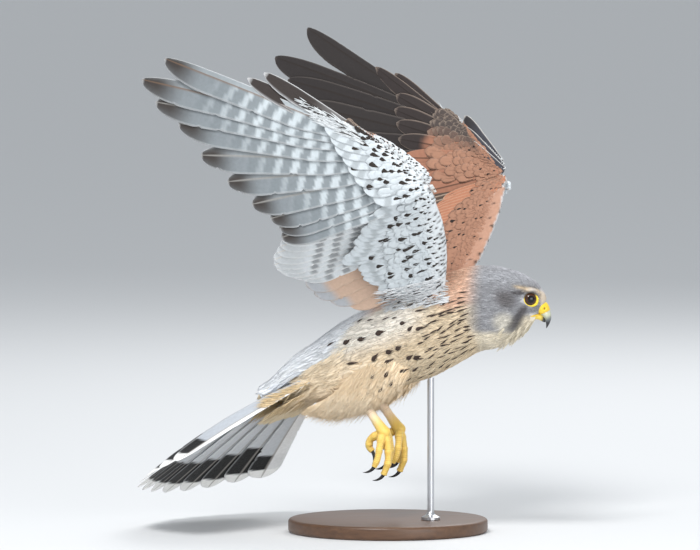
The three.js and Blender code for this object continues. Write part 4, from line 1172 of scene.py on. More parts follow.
sites = {"place": [], "ahead": [], "normal": [], "t": []}  # where body feathers lie and which way


def keepSites(path, normal, t):
    sites["place"].append(path[:, 1])
    sites["ahead"].append(unit(path[:, 2] - path[:, 0]))
    sites["normal"].append(normal[:, 1])
    sites["t"].append(t[:, 1])


def plantBody(name, start, stop, slotName, wisps=0):  # wisps is their gap as a share of the feathers' own
    c = coatSet
    roots = rootsOnBody(start, stop, wisps or 1.0)
    stations = 4 if wisps else c["stations"] - (start > 4)
    length = np.interp(roots[:, 0], *c["length"]) * rng.normal(1, 0.1, len(roots)) * (0.8 if wisps else 1)
    path, normal, t, theta = bodyPaths(roots, length, stations, c["wispTurn"] if wisps else 1.2)
    path, found = onSkin(path, normal)
    eye = eyeGap(path)
    keep = found[:, 0] & found[:, 1] & (eye[:, 0] > c["eyelid"][0]) & (eye.min(1) > c["eyelid"][1])
    x, z = path[:, 0, 0], path[:, 0, 2]
    ahead, low, high = c["bill"]
    keep &= (x <= c["front"]) & ~((x > ahead) & (z > low) & (z < high))
    path, normal, t, theta, length, roots = (v[keep] for v in (path, normal, t, theta, length, roots))
    u = np.linspace(0, 1, stations)[None, :]
    lift = np.interp(roots[:, 0], *c["lift"])[:, None] * rng.normal(1, 0.25, len(roots))[:, None]
    height = -0.3 + lift * np.sin(u * np.pi / 2)
    if wisps:
        height = height + (0.25 + 0.5 * u) * rng.uniform(0.4, 1.2, (len(roots), 1))
    width = np.interp(roots[:, 0], *c["width"]) * rng.normal(1, 0.1, len(roots))
    if wisps:
        width = np.interp(roots[:, 0], (2, 6), c["wispWidth"])
    seed = np.floor(roots[:, 0] * 997) + np.floor(roots[:, 1] * 13)
    side = np.abs(np.mod(theta + 180, 360) - 180)

    def paint(us, xs):
        one = np.ones(us.shape)
        p = np.broadcast_to(path[:, :, None], us.shape + (3,))
        tt, ss = t[:, :, None] * one, side[:, :, None] * one
        hood = hoodShare(p, tt)
        body = bodyPaint(tt, ss, us, xs, seed[:, None, None] * one)
        vary = 0.4 if wisps else 0.06
        return blend(body, headPaint(p, xs), hood) * uneven(vary, seed, 2.2)

    chart = bodyChart(roots[:, 0], roots[:, 1])
    keepSites(path, normal, t)
    profile = bladeProfile(stations, 0.35, 0.55, 0.12) if not wisps else np.array([0.7, 1, 0.7, 0.15])
    return layFeathers(
        name, slotName, path, normal, width, height, 0.16 if wisps else 0.13, 3 if wisps else c["columns"],
        profile, paint, chart, 0.06,
    )
    return finishPiece(piece, name, coatMaterial, slotName)


bodyZones = (
    ("head", 0.2, 4.6, "feather_grey", 0.37), ("breast", 4.3, 8, "feather_buff", 0.53),
    ("rump", 8, 12.7, "feather_buff", 0.53),
)
coats = [plantBody("coat_" + name, *zone) for name, *zone, _ in bodyZones]
coats += [plantBody("wisps_" + name, *zone) for name, *zone in bodyZones]
stage("contour feathers of head and body")


# beard of loose feathers under the chin and throat
beardSet = {"tufts": 64, "hairs": 12, "long": (5, 8), "from": 0.8, "to": 3.7, "spread": 48, "fall": 0.5}


def plantBeard():
    c = beardSet
    rootT = rng.uniform(c["from"], c["to"], c["tufts"])
    rootTheta = 180 + rng.normal(0, c["spread"] / 2, c["tufts"])
    t = np.repeat(rootT, c["hairs"]) + rng.normal(0, 0.05, c["tufts"] * c["hairs"])
    theta = np.repeat(rootTheta, c["hairs"]) + rng.normal(0, 5, c["tufts"] * c["hairs"])
    base = bodyAt(t, theta, -0.8)
    normal = bodyNormal(t, theta)
    back = unit(bodyAt(t + 0.4, theta, -0.8) - base)
    length = np.repeat(rng.uniform(*c["long"], c["tufts"]), c["hairs"]) * rng.uniform(0.75, 1.1, len(t))
    stations = 6
    u = np.linspace(0, 1, stations)
    gather = np.repeat(bodyAt(rootT, rootTheta, 0), c["hairs"], axis=0) - base
    path = base[:, None] + back[:, None] * (0.66 * length[:, None] * u)[..., None]
    path = path + gather[:, None] * (0.4 * u ** 2)[None, :, None]
    path = path + normal[:, None] * (length[:, None] * c["fall"] * u ** 1.3)[..., None]
    keep = onSkin(path[:, :1], normal[:, None])[1][:, 0]
    path, normal, t, theta = path[keep], normal[keep], t[keep], theta[keep]

    def paint(us, xs):
        shade = rng.uniform(0.8, 1.05, (len(t), 1, 1, 1))
        return flood(us, 240, 230, 208) * shade

    chart = bodyChart(t, theta)
    profile = np.array([0.8, 1, 0.9, 0.7, 0.45, 0.12])
    height = np.zeros((len(t), stations))
    width = np.full(len(t), 0.42)
    return layFeathers(
        "beard", "feather_pale", path, normal, width, height, 0.14, 3, profile, paint, chart, 0.25,
    )


coats.append(plantBeard())
stage("beard")


# small coverts of the wings
def wingLines(side, face):  # the wing's front edge from the shoulder out: run, place, lie, normal and depth
    edges, lies, normals, depths = [], [], [], []
    for up, front, back, _ in armSections:
        edges.append(np.array([front, pose["shoulderOut"], 0]) + armSpan * up)
        lies.append(inArm(2))
        normals.append(armNormal)
        depths.append(front - back)
    edges.append(wrist - 2 * backward)
    lies.append(backward)
    normals.append(unit(between(armNormal, handNormal, 0.5)))
    depths.append(20)
    for (up, turn, front, back, _), lie in zip(handSections, (10, 24, 34, 40)):
        edges.append(wrist + up * handAxis + front * inHand(turn))
        lies.append(inHand(lie))
        normals.append(handNormal)
        depths.append(front + back)
    k = np.linspace(0, len(edges) - 1, 300)
    line = throughPoints(inTrunk(edges, side), k)
    lie = unit(throughPoints(alongTrunk(lies, side), k))
    out = unit(throughPoints(alongTrunk(normals, side), k)) * face
    return k, runAlong(line), line, lie, out, np.interp(k, range(len(depths)), depths)


def onWing(s, run, *lines):  # place, lie and normal at each way s along the wing
    return [np.stack([np.interp(s, run, v[:, n]) for n in range(3)], -1) for v in lines]


def wingSpots(s, d, run):
    return np.stack([0.05 + 0.9 * np.clip(s / run[-1], 0, 1), 0.05 + 0.9 * np.clip(d / 42, 0, 1)], -1)


handFrom = 6.3  # where the hand starts, counted in sections of the front edge
covertAt = (0, 6, 16, 30, 44)
covertSet = {
    "length": (covertAt, (3.4, 5.2, 9, 14, 17)), "width": (covertAt, (2.6, 3.8, 6, 8.6, 9.5)),
    "rowStep": (covertAt, (1.5, 2.0, 3.2, 4.6, 5.4)), "rowGap": (covertAt, (2.0, 2.6, 3.8, 5.4, 6.2)),
    "stations": 6, "columns": 6, "reach": {1: 2.4, -1: 1.3}, "armReach": 0.82, "front": -0.8, "shoulder": 9,
    "wispGap": 0.6, "wispStep": 0.7, "wispWidth": 0.4,
}


def underPaint(d, share):
    def paint(us, xs):
        colour = flood(us, 200, 207, 211)
        colour = colour * uneven(0.05, np.floor(share * 400), np.floor(d * 9))
        front = (1 - step(5, 14, d))[:, None, None] * np.ones(us.shape) * 0.8
        colour = blend(colour, tone(224, 228, 230), front)
        return blend(colour, tone(218, 223, 226), step(0.5, 0.9, np.abs(xs)) * 0.5)
    return paint


def upperPaint(d, share):
    def paint(us, xs):
        one = np.ones(us.shape)
        along = share[:, None, None] * one
        colour = flood(us, 170, 128, 106)
        colour = colour * uneven(0.12, np.floor(share * 300), np.floor(d * 7))
        colour = blend(colour, tone(204, 166, 146), step(0.6, 0.95, np.abs(xs)) * 0.4)
        hand = step(7.2, 8.4, along) * step(2.5, 6, d)[:, None, None]
        dark = flood(us, 84, 76, 73)
        dark = rims({"length": 10.0}, us, xs, dark, tone(190, 170, 152), 0.85, 1.4, 0.6)
        return blend(colour, dark, hand)
    return paint


def plantWing(name, side, face, slotName, paintWith, wisps=False):
    c = covertSet
    k, run, line, lie, out, depth = wingLines(side, face)
    tree = treeOf(skin, bigVanes[side])
    roots = []
    d, row = -8.0, 0
    onHandFrom = np.interp(handFrom, k, run)
    while d < 60:
        gap = np.interp(d, *c["rowGap"]) * (c["wispGap"] if wisps else 1)
        for s in np.arange(0.5 * gap * (row % 2), run[-1], gap):
            limit = np.interp(s, run, depth) * (c["reach"][face] if s > onHandFrom else c["armReach"])
            if d < limit and (d > c["front"] or (s > onHandFrom and face < 0)):
                roots.append((s, d))
        d += np.interp(d, *c["rowStep"]) * (c["wispStep"] if wisps else 1)
        row += 1
    roots = np.array(roots) + rng.normal(0, 0.35, (len(roots), 2))
    roots = roots[roots[:, 0] > c["shoulder"]]
    at = onWing(roots[:, 0], run, line, lie, out)
    along = np.interp(roots[:, 0], run, k)
    length = np.interp(roots[:, 1], *c["length"]) * rng.normal(1, 0.08, len(roots))
    length = length * np.interp(along, (6, 10), (1, 0.8))
    stations = 3 if wisps else c["stations"]
    u = np.linspace(0, 1, stations)
    path = at[0][:, None] + at[1][:, None] * (roots[:, 1][:, None] + length[:, None] * u[None, :])[..., None]
    normal = np.repeat(at[2][:, None], stations, 1)
    ends = []
    for n in (0, stations - 1):
        ends.append(castOn(tree, path[:, n], -normal[:, n], 14, 12))
    keep = ends[0][1] & ends[1][1]
    level = [np.einsum("ij,ij->i", e[0] - path[:, n], normal[:, n]) for e, n in zip(ends, (0, stations - 1))]
    level[1] = np.clip(level[1], level[0] - 0.35 * length, level[0] + 0.25 * length)
    path = path + normal * (level[0][:, None] * (1 - u) + level[1][:, None] * u)[..., None]
    path, normal, length, roots, along = path[keep], normal[keep], length[keep], roots[keep], along[keep]
    height = -0.25 + 0.6 * np.sin(u * np.pi / 2)[None, :] * np.clip(length / 8, 0.6, 1.3)[:, None]
    width = np.interp(roots[:, 1], *c["width"]) if not wisps else np.full(len(roots), c["wispWidth"])
    chart = wingSpots(roots[:, 0], roots[:, 1], run)
    profile = bladeProfile(stations, 0.45, 0.6, 0.12) if not wisps else np.array([0.7, 1, 0.15])
    paint = paintWith(roots[:, 1], along)
    return layFeathers(
        name, slotName, path, normal, width, height, 0.13, 3 if wisps else c["columns"],
        profile, paint, chart, 0.07,
    )
    return finishPiece(piece, name, coatMaterial, slotName)


for side, word in sides:
    coats.append(plantWing("coverts_over_" + word, side, 1, "feather_rufous", upperPaint))
    coats.append(plantWing("coverts_under_" + word, side, -1, "feather_pale", underPaint))
    coats.append(plantWing("wisps_over_" + word, side, 1, "feather_rufous", upperPaint, True))
    coats.append(plantWing("wisps_under_" + word, side, -1, "feather_pale", underPaint, True))
stage("small coverts of the wings")


# trousers; where two values stand, they are for the feathers and for the wisps
thighSet = {
    "gap": (2.8, 1.15), "rowStep": (0.15, 0.09), "until": 4.4, "long": ((0, 3, 4.4), (17, 14, 9)),
    "sunk": -1.2, "droop": -0.32, "fromSkin": 2.6, "wide": ((0, 4.4), (5.5, 3.0)), "wispWidth": 0.42,
}


def plantThigh(name, side, wisps=False):
    roots = []
    c = thighSet
    row, k = 0, 0.02
    while k < c["until"]:
        count = int(girth(k, thighSteps) / c["gap"][wisps])
        for j in range(count):
            roots.append((k, 360 * (j + 0.5 * (row % 2)) / count))
        k += c["rowStep"][wisps]
        row += 1
    roots = np.array(roots) + rng.normal(0, 1, (len(roots), 2)) * (0.02, 2.0)
    stations = 4 if wisps else 6
    u = np.linspace(0, 1, stations)
    length = np.interp(roots[:, 0], *c["long"]) * rng.normal(1, 0.12, len(roots))
    if wisps:
        length = length * rng.uniform(0.7, 1.35, len(roots))
    base = thighAt(side, roots[:, 0], roots[:, 1], c["sunk"])
    further = thighAt(side, np.minimum(roots[:, 0] + 0.5, 4.9), roots[:, 1], c["sunk"])
    ahead = unit(unit(further - base) + np.array([0, 0, c["droop"]]))
    path = base[:, None] + ahead[:, None] * (length[:, None] * u[None, :])[..., None]
    out = unit(thighAt(side, roots[:, 0], roots[:, 1], 1.0) - thighAt(side, roots[:, 0], roots[:, 1], 0.0))
    normal = np.repeat(out[:, None], stations, 1)
    keep = np.array([skinTree.find_nearest(Vector(p))[3] for p in base]) < c["fromSkin"]
    path, normal, length, roots = path[keep], normal[keep], length[keep], roots[keep]
    height = -0.3 + 0.55 * np.sin(u * np.pi / 2)[None, :] * rng.uniform(0.6, 1.3, (len(roots), 1))
    if wisps:
        height = height + (0.3 + 2.2 * u[None, :] ** 2) * rng.uniform(0.1, 1.2, (len(roots), 1))
        across = np.cross(path[:, -1] - path[:, 0], normal[:, 0])[:, None]
        path = path + across * (u[None, :] * rng.normal(0, 0.17, (len(roots), 1)))[..., None]
    seed = np.floor(roots[:, 0] * 997) + np.floor(roots[:, 1] * 13)
    if not wisps:
        keepSites(path, normal, np.full(path.shape[:2], 9.0))

    def paint(us, xs):
        colour = blend(flood(us, 246, 224, 191), tone(250, 235, 210), step(0.6, 1, us) * 0.5)
        return colour * uneven(0.12, seed, 3.1)

    chart = np.stack([0.04 + 0.92 * np.mod(roots[:, 1], 360) / 360, 0.05 + 0.9 * roots[:, 0] / 5], -1)
    width = np.interp(roots[:, 0], *c["wide"]) if not wisps else np.full(len(roots), c["wispWidth"])
    profile = bladeProfile(stations, 0.4, 0.5, 0.1) if not wisps else np.array([0.7, 1, 0.7, 0.12])
    return layFeathers(
        name, "feather_buff", path, normal, width, height, 0.13, 3 if wisps else 5,
        profile, paint, chart, 0.05,
    )


for side, word in sides:
    coats.append(plantThigh("trousers_" + word, side))
    coats.append(plantThigh("wisps_trousers_" + word, side, True))
stage("trousers")


# dark marks, each the tip of a feather over the coat
# x and height of each mark as the camera sees it from the side, with its length and width
flankMarks = (
    (-30.1, 140.8, 6, 3), (-41.6, 139.3, 7, 1.2), (-18.6, 142.9, 8, 2.6), (-5.7, 147.7, 7, 3.4),
    (11.2, 154.8, 4.6, 2.4), (16.4, 151, 4.6, 2.2), (22.9, 151, 5, 2.2), (1.2, 133.9, 5.5, 3),
    (7.9, 136.7, 5, 2.8), (-9.6, 129.4, 6, 3.4), (0.6, 126.8, 6.5, 2.8), (-25.9, 125.2, 9, 1.6),
    (-39.5, 117.4, 8, 1.1), (-10.9, 115.8, 4.5, 2.2), (-1.3, 117.2, 4.5, 2.2), (11.6, 120, 6, 3.2),
    (2.2, 110.6, 4.5, 1.8), (-5.5, 106, 4.5, 1.8), (14.8, 113.3, 6, 1.5), (15.8, 129.8, 5, 2.6),
    (21.5, 129.8, 5.5, 3.2), (-20.1, 156.5, 5, 1), (-12.4, 156.9, 6, 1), (-1.5, 158, 5, 0.9),
    (5.2, 158.6, 4, 0.9), (2.7, 170, 4.5, 3), (9.2, 170.5, 4.5, 3), (14.8, 170.2, 4, 2.2),
    (18.5, 172.4, 4, 2), (20, 121, 5, 1.9),
)
breastMarks = {
    "from": 26, "across": 50, "columns": 9, "rows": 10, "middle": (160, 176), "high": (62, 34),
    "long": 7.4, "wide": 1.0, "most": (0.7, 1.2),
}
castFrom = 300


def cameraCast(tree, x, height):  # what the camera meets at x and height on its picture
    e = math.radians(cameraSet["elevation"])
    ahead = Vector((0, math.cos(e), -math.sin(e)))
    start = Vector((x, -castFrom, (height + castFrom * math.sin(e)) / math.cos(e)))
    return tree.ray_cast(start, ahead, 2 * castFrom)[:2]


def acrossBird(p):  # the matching place on the other side of the bird
    return p - 2 * ((p - shoulders) @ trunkLeft)[..., None] * trunkLeft


def turnedAcross(d):  # the matching direction
    return d - 2 * (d @ trunkLeft)[..., None] * trunkLeft


def markBlades(name, at, ahead, normal, long, wide, tint, charts, raised=0.35):
    stations = 6
    u = np.linspace(0, 1, stations)
    side = np.cross(ahead, normal)
    stray = rng.normal(0, 0.1, (len(at), 1))
    ahead = unit(ahead + side * stray)
    path = at[:, None] + ahead[:, None] * (long[:, None] * (u[None, :] - 0.55))[..., None]
    height = raised * np.sin(np.clip(u * 1.15, 0, 1) * np.pi / 2)[None, :] - 0.1 + np.zeros((len(at), 1))
    profile = np.array([0.1, 0.28, 0.56, 0.94, 0.96, 0.26])

    def paint(us, xs):
        return blend(flood(us, *tint), tone(96, 84, 76), (1 - step(0, 0.4, us)) * 0.5)

    return layFeathers(
        name, "feather_grey", path, normal, wide, height, 0.14, 5, profile, paint, charts, 0.12,
    )


def markBody():
    tree = treeOf(*[c for c in coats if c.name.startswith(("coat_", "trousers"))])
    place, ahead, normal, t = (np.concatenate(kept) for kept in sites.values())
    near = nearestOf(place)
    wanted = list(flankMarks)
    b = breastMarks
    for row in range(b["rows"]):
        share = (row + 0.5) / b["rows"]
        for k in range(b["columns"]):
            column = k / b["columns"]
            x = b["from"] + b["across"] * column + rng.normal(0, 1.5) + 3 * (row % 2)
            below = share * between(*b["high"], column)
            height = between(*b["middle"], column) + 8 - below + rng.normal(0, 0.8)
            long = b["long"] * rng.uniform(*b["most"])
            wanted.append((x, height, long, b["wide"] * rng.uniform(*b["most"])))
    at, way, out, long, wide = [], [], [], [], []
    for x, height, length, width in wanted:
        hit = cameraCast(tree, x, height)[0]
        if hit is None:
            continue
        n = near.find(hit)[1]
        if t[n] < 4.2 or hoodShare(place[n][None], t[n][None])[0] > 0.4:
            continue
        for side in (-1, 1):  # the far side carries the same marks, a little moved
            if side < 0:
                spot = np.array(hit)
                m = n
            else:
                turned = acrossBird(np.array(hit)) + rng.normal(0, 0.7, 3)
                m = near.find(turned)[1]
                met = tree.ray_cast(Vector(turned + normal[m] * 9), Vector(-normal[m]), 20)[0]
                if met is None:
                    continue
                spot = np.array(met)
            at.append(spot)
            way.append(ahead[m])
            out.append(normal[m])
            long.append(length)
            wide.append(width)
    at, way, out = np.array(at), np.array(way), np.array(out)
    charts = np.stack([0.04 + 0.92 * np.arange(len(at)) / len(at), np.full(len(at), 0.5)], -1)
    size = np.array(long) * 1.25, np.array(wide) * 1.3
    return markBlades("marks_body", at, way, out, *size, (64, 53, 48), charts, raised=1.15)


underRows = {  # distance behind the wing's front edge, gap along it, length and width of the drops
    "depth": (-7, -4.5, -2.2, 0.5, 2.2, 4.2, 6.8, 9.8, 13.4, 18.4, 25, 33, 42, 52),
    "gap": (6, 5, 4.4, 3.4, 3.6, 4.2, 5.2, 6.2, 7.2, 8.4, 9.4, 10, 11, 12),
    "long": (2.2, 2.0, 1.8, 1.4, 1.8, 2.4, 3.0, 3.8, 4.8, 5.6, 6.4, 6.8, 6.8, 6.4),
    "wide": (1.3, 1.2, 1.1, 0.9, 1.2, 1.6, 2.0, 2.6, 3.2, 3.8, 4.3, 4.5, 4.4, 4),
    "reach": 1.3, "handReach": 1.7,
}
upperRows = {
    "depth": (6, 12, 19, 27, 36, 44), "gap": (16, 15, 14, 13, 11, 10), "long": (2.0, 2.4, 2.8, 3.4, 4.2, 4.6),
    "wide": (1.2, 1.5, 1.8, 2.2, 2.8, 3.0), "reach": 1.15, "handReach": 1,
}


def markWing(name, side, face, rows, share, tint):
    k, run, line, lie, out, depth = wingLines(side, face)
    word = "left" if side > 0 else "right"
    coverts = [c for c in coats if c.name.startswith("coverts") and c.name.endswith(word)]
    tree = treeOf(bigVanes[side], *coverts)
    spots = []
    onHandFrom = np.interp(handFrom, k, run)
    for row, d in enumerate(rows["depth"]):
        for s in np.arange(0.5 * rows["gap"][row] * (row % 2 + 0.4), run[-1] * share, rows["gap"][row]):
            s += rng.normal(0, rows["gap"][row] * 0.16)
            reach = rows["reach"] * (rows["handReach"] if s > onHandFrom else 1)
            if d < np.interp(s, run, depth) * reach and (d > -0.5 or s > onHandFrom) and rng.random() < 0.9:
                behind = d + rng.normal(0, 0.08 * abs(d) + 0.2)
                spots.append((s, behind, rows["long"][row], rows["wide"][row]))
    spots = np.array(spots)
    at = onWing(spots[:, 0], run, line, lie, out)
    place = at[0] + at[1] * spots[:, 1:2]
    hits, found = castOn(tree, place, -at[2], 16, 14)
    charts = wingSpots(spots[:, 0], spots[:, 1], run)
    size = spots[:, 2:] * rng.uniform(0.8, 1.2, (len(spots), 2))
    ahead, normal = at[1][found], at[2][found]
    return markBlades(name, hits[found], ahead, normal, *size[found].T, tint, charts[found], 0.22)


marks = [markBody()]
for side, word in sides:
    marks.append(markWing("marks_under_" + word, side, -1, underRows, 1.0, (54, 49, 46)))
    marks.append(markWing("marks_over_" + word, side, 1, upperRows, 0.85, (50, 44, 42)))
coats += marks
stage("dark marks")


# loose tufts: corners of each patch as the camera sees it, how the tufts lie on the picture, size, colour
tuftZones = {
    "tufts_undertail": {
        "corners": ((-59.2, 112.5), (-63.6, 93.2), (-93.2, 85.8), (-88.8, 97.7)),
        "count": 420, "lie": (-0.84, -0.54),
        "long": (8, 15), "wide": 0.8, "lift": 1.6, "tint": (228, 204, 164), "slot": "feather_buff",
    },
    "tufts_trousers": {
        "corners": ((-66.6, 106), (-11.8, 101), (-11.8, 91.8), (-60.7, 93.2)),
        "count": 460, "lie": (-0.6, -0.8),
        "long": (8, 14), "wide": 0.6, "lift": 1.6, "tint": (246, 228, 200), "slot": "feather_buff",
    },
    "tufts_thigh": {
        "corners": ((-31.8, 136), (-40, 101.4), (-66.6, 97.7), (-58, 121.4)),
        "count": 560, "lie": (-0.86, -0.5),
        "long": (11, 19), "wide": 0.6, "lift": 1.8, "tint": (250, 233, 206), "slot": "feather_buff",
    },
    "tufts_axilla": {
        "corners": ((-6, 178), (42.9, 189.4), (44.4, 170), (0, 164)), "count": 330, "lie": (-0.95, -0.25),
        "long": (6, 10), "wide": 1.1, "lift": 1.5, "tint": (226, 228, 230), "slot": "feather_pale",
    },
    "tufts_axilla_dark": {
        "corners": ((-2, 176), (42.9, 187), (44.4, 171), (3, 166)), "count": 15, "lie": (-0.9, -0.35),
        "long": (4, 6), "wide": 1.2, "lift": 2.4, "tint": (60, 54, 52), "slot": "feather_grey",
    },
    "tufts_hand": {
        "corners": ((-64, 317.5), (-28, 299.5), (-16.3, 284), (-50, 301)),
        "count": 230, "lie": (-0.89, 0.455),
        "long": (7, 13), "wide": 1.1, "lift": 1.2, "tint": (222, 226, 228), "slot": "feather_pale",
    },
    "tufts_hand_dark": {
        # painted shadow: thin dark blades stand for the shadow lines between the white tufts of the hand's
        # front edge
        "corners": ((-62, 317), (-28, 299.5), (-18, 286), (-50, 302)), "count": 30, "lie": (-0.89, 0.455),
        "long": (6, 11), "wide": 1.1, "lift": 1.9, "tint": (58, 53, 51), "slot": "feather_grey",
    },
}


def plantTufts(name, z):
    tree = treeOf(bigVanes[-1], bigVanes[0], *[c for c in coats if not c.name.startswith(("wisps", "beard"))])
    share = rng.random((z["count"], 2))
    (a, b, c, d), at, out = np.array(z["corners"]), [], []
    for p, q in share:
        x, height = between(between(a, b, p), between(d, c, p), q)
        hit, face = cameraCast(tree, x, height)
        if hit is not None:
            at.append(hit)
            out.append(face)
    at, out = np.array(at), np.array(out)
    out = out * np.where(out[:, 1:2] > 0, -1, 1)
    lie = np.array([z["lie"][0], 0.0, z["lie"][1]]) + rng.normal(0, 0.13, (len(at), 3))
    at, out, lie = (
        np.vstack(pair) for pair in ((at, acrossBird(at)), (out, turnedAcross(out)), (lie, turnedAcross(lie)))
    )
    lie = unit(lie - out * np.sum(lie * out, 1, keepdims=True))
    u = np.linspace(0, 1, 4)
    long = rng.uniform(*z["long"], len(at))
    path = at[:, None] + lie[:, None] * (long[:, None] * (u - 0.2))[..., None]
    height = 0.1 + z["lift"] * (0.15 + u ** 1.5) * rng.uniform(0.4, 1.1, (len(at), 1))
    shade = rng.uniform(0.93, 1.03, (len(at), 1, 1, 1))
    order = np.arange(len(at))
    charts = np.stack([0.04 + 0.92 * np.mod(order * 0.618, 1), 0.04 + 0.92 * order / len(at)], -1)
    wide = z["wide"] * rng.uniform(0.7, 1.3, len(at))

    def paint(us, xs):
        return flood(us, *z["tint"]) * shade

    profile = np.array([0.6, 1, 0.75, 0.14])
    return layFeathers(name, z["slot"], path, out, wide, height, 0.14, 3, profile, paint, charts, 0.25)


coats += [plantTufts(*zone) for zone in tuftZones.items()]
stage("loose tufts")


# the skin takes the markings of the feathers over it
def paintSkin():
    places, colours = [], []
    for coat in coats + list(bigVanes.values()):
        tint = np.empty(len(coat.data.vertices) * 4)
        coat.data.color_attributes["plumage"].data.foreach_get("color", tint)
        places.append(pointsOf(coat)[::skinSet["every"]])
        colours.append(tint.reshape(-1, 4)[::skinSet["every"], :3])
    places, colours = np.vstack(places), np.vstack(colours)
    tree = nearestOf(places)
    tints = []
    for v in skin.data.vertices:
        near = [n for _, n, _ in tree.find_n(v.co, skinSet["nearest"])]
        tints.append(colours[near].mean(0))
    paintPoints(skin.data, np.array(tints))


paintSkin()
thighNodes = ["thigh_left", "thigh_right"]
finishPiece(skin, "skin", skinMaterial, "feather_buff", "head", "neck", "torso", *thighNodes)
stage("skin painted")


# eyes and eye rings
eyeSet = {
    "ringRadius": 4.75, "ringOut": 3.0, "thin": 0.38, "broad": 1.3, "broadTowards": -30,
    "yellow": (236, 205, 44), "dark": (30, 24, 22), "brown": (62, 38, 24),
    "pupilEdge": (27, 31), "irisEdge": (50, 58),
}


def buildEye(side, word):
    c = eyeSet
    ball = ballAt(eyeCentre(side), headSet["eyeRadius"] - 0.05, 56, 36)
    ball.rotation_euler = Vector(eyeAxis(side)).to_track_quat("Z", "Y").to_euler()
    bpy.ops.object.shade_smooth()
    bpy.ops.object.transform_apply(location=True, rotation=True, scale=True)
    tints = []
    for v in ball.data.vertices:
        away = np.array(v.co) / mm - eyeCentre(side)
        off = math.degrees(math.acos(max(-1, min(1, float(unit(away) @ eyeAxis(side))))))
        iris = step(*c["pupilEdge"], off) * (1 - step(*c["irisEdge"], off))
        tint = blend(tone(*c["dark"]) * 0.3, tone(*c["brown"]), iris)
        tints.append(tint.reshape(3))
    paintPoints(ball.data, np.array(tints))
    return finishPiece(ball, "eyeball_" + word, eyeMaterial, "eye_dark", "eye_" + word)


def buildEyeRing(side, word):  # bare skin round the eye, broad below and in front
    c = eyeSet
    axis = eyeAxis(side)
    ahead = unit(np.array([1, 0, 0]) - axis * axis[0])
    up = np.array([0, 0, 1.0])
    around, tubeSides = 96, 14
    a = np.linspace(0, 2 * np.pi, around, endpoint=False)
    b = np.linspace(0, 2 * np.pi, tubeSides, endpoint=False)
    turn = np.degrees(a) - c["broadTowards"]
    broad = np.clip(np.cos(np.radians(turn)), 0, 1) ** 2
    size = c["thin"] + (c["broad"] - c["thin"]) * broad
    size = size * (1 + 0.05 * np.sin(a * 23) + 0.04 * np.sin(a * 41))
    away = ahead * np.cos(a)[:, None] + up * np.sin(a)[:, None]
    centre = eyeCentre(side) + axis * c["ringOut"] + away * (c["ringRadius"] + 0.5 * broad)[:, None]
    flat = np.where(np.sin(a) > 0.3, 0.8, 0.7)
    points = centre[:, None] + away[:, None] * (np.cos(b)[None, :] * size[:, None])[..., None]
    points = points + axis * (np.sin(b)[None, :] * size[:, None] * flat[:, None])[..., None]
    inner = step(0.35, 0.95, -np.cos(b))[None, :]
    tint = blend(flood(points[..., 0], *c["yellow"]), tone(*c["dark"]), inner * np.ones((around, 1)) * 0.9)
    # painted shade: the upper part of the ring is darkened to the dark line under the overhanging brow
    upper = step(0.1, 0.6, np.sin(a) - 0.25 * np.cos(a))[:, None]
    tint = blend(tint, tone(58, 50, 46), upper * np.ones((1, tubeSides)) * 0.95)
    i, j = np.meshgrid(np.arange(around), np.arange(tubeSides), indexing="ij")
    n = (i + 1) % around
    m = (j + 1) % tubeSides
    here, there = i * tubeSides, n * tubeSides
    quads = np.stack([here + j, there + j, there + m, here + m], -1).reshape(-1, 4)
    ring = turnOutwards(makeMesh("eyeRing", points.reshape(-1, 3), quads, None, tint.reshape(-1, 3)))
    return finishPiece(ring, "eye_ring_" + word, yellowMaterial, "skin_yellow")


for side, word in sides:
    buildEye(side, word)
    buildEyeRing(side, word)
stage("eyes")


# cere and bill
cereSteps = (
    ((8.9, -1.0), (-4.4, -11.8), 8.2), ((12.9, -3.3), (1.1, -11.6), 7.4),
    ((14.6, -5.9), (4.6, -11.6), 6.4), ((15.5, -8.5), (7.8, -12.3), 5.4),
)
upperSteps = (
    ((14.6, -6.5), (5.1, -11.8), 5.0), ((15.7, -9.7), (9.0, -13.0), 4.8), ((16.3, -12.7), (11.0, -15.0), 3.9),
    ((16.2, -15.8), (12.0, -17.3), 2.8), ((15.0, -19.0), (12.5, -19.5), 1.5),
    ((13.1, -22.1), (12.6, -22.3), 0.4),
)
lowerSteps = (
    ((0.6, -9.5), (0.9, -16.4), 6.2), ((5.6, -10.0), (5.6, -15.8), 5.0), ((9.6, -11.0), (8.4, -16.6), 3.8),
    ((11.8, -14.0), (10.2, -17.6), 2.2), ((12.4, -17.0), (11.8, -18.0), 0.5),
)


def billRings(steps, count, around):
    rings = []
    for top, low, wide in steps:
        high, deep = onHead(top[0], top[1], 0), onHead(low[0], low[1], 0)
        tall = np.linalg.norm(high - deep) / 2
        across = np.array([0, 1.0, 0])
        rings.append(oval((high + deep) / 2, across, unit(high - deep), wide, tall, around, 0, -0.12))
    return smoothRings(rings, count)


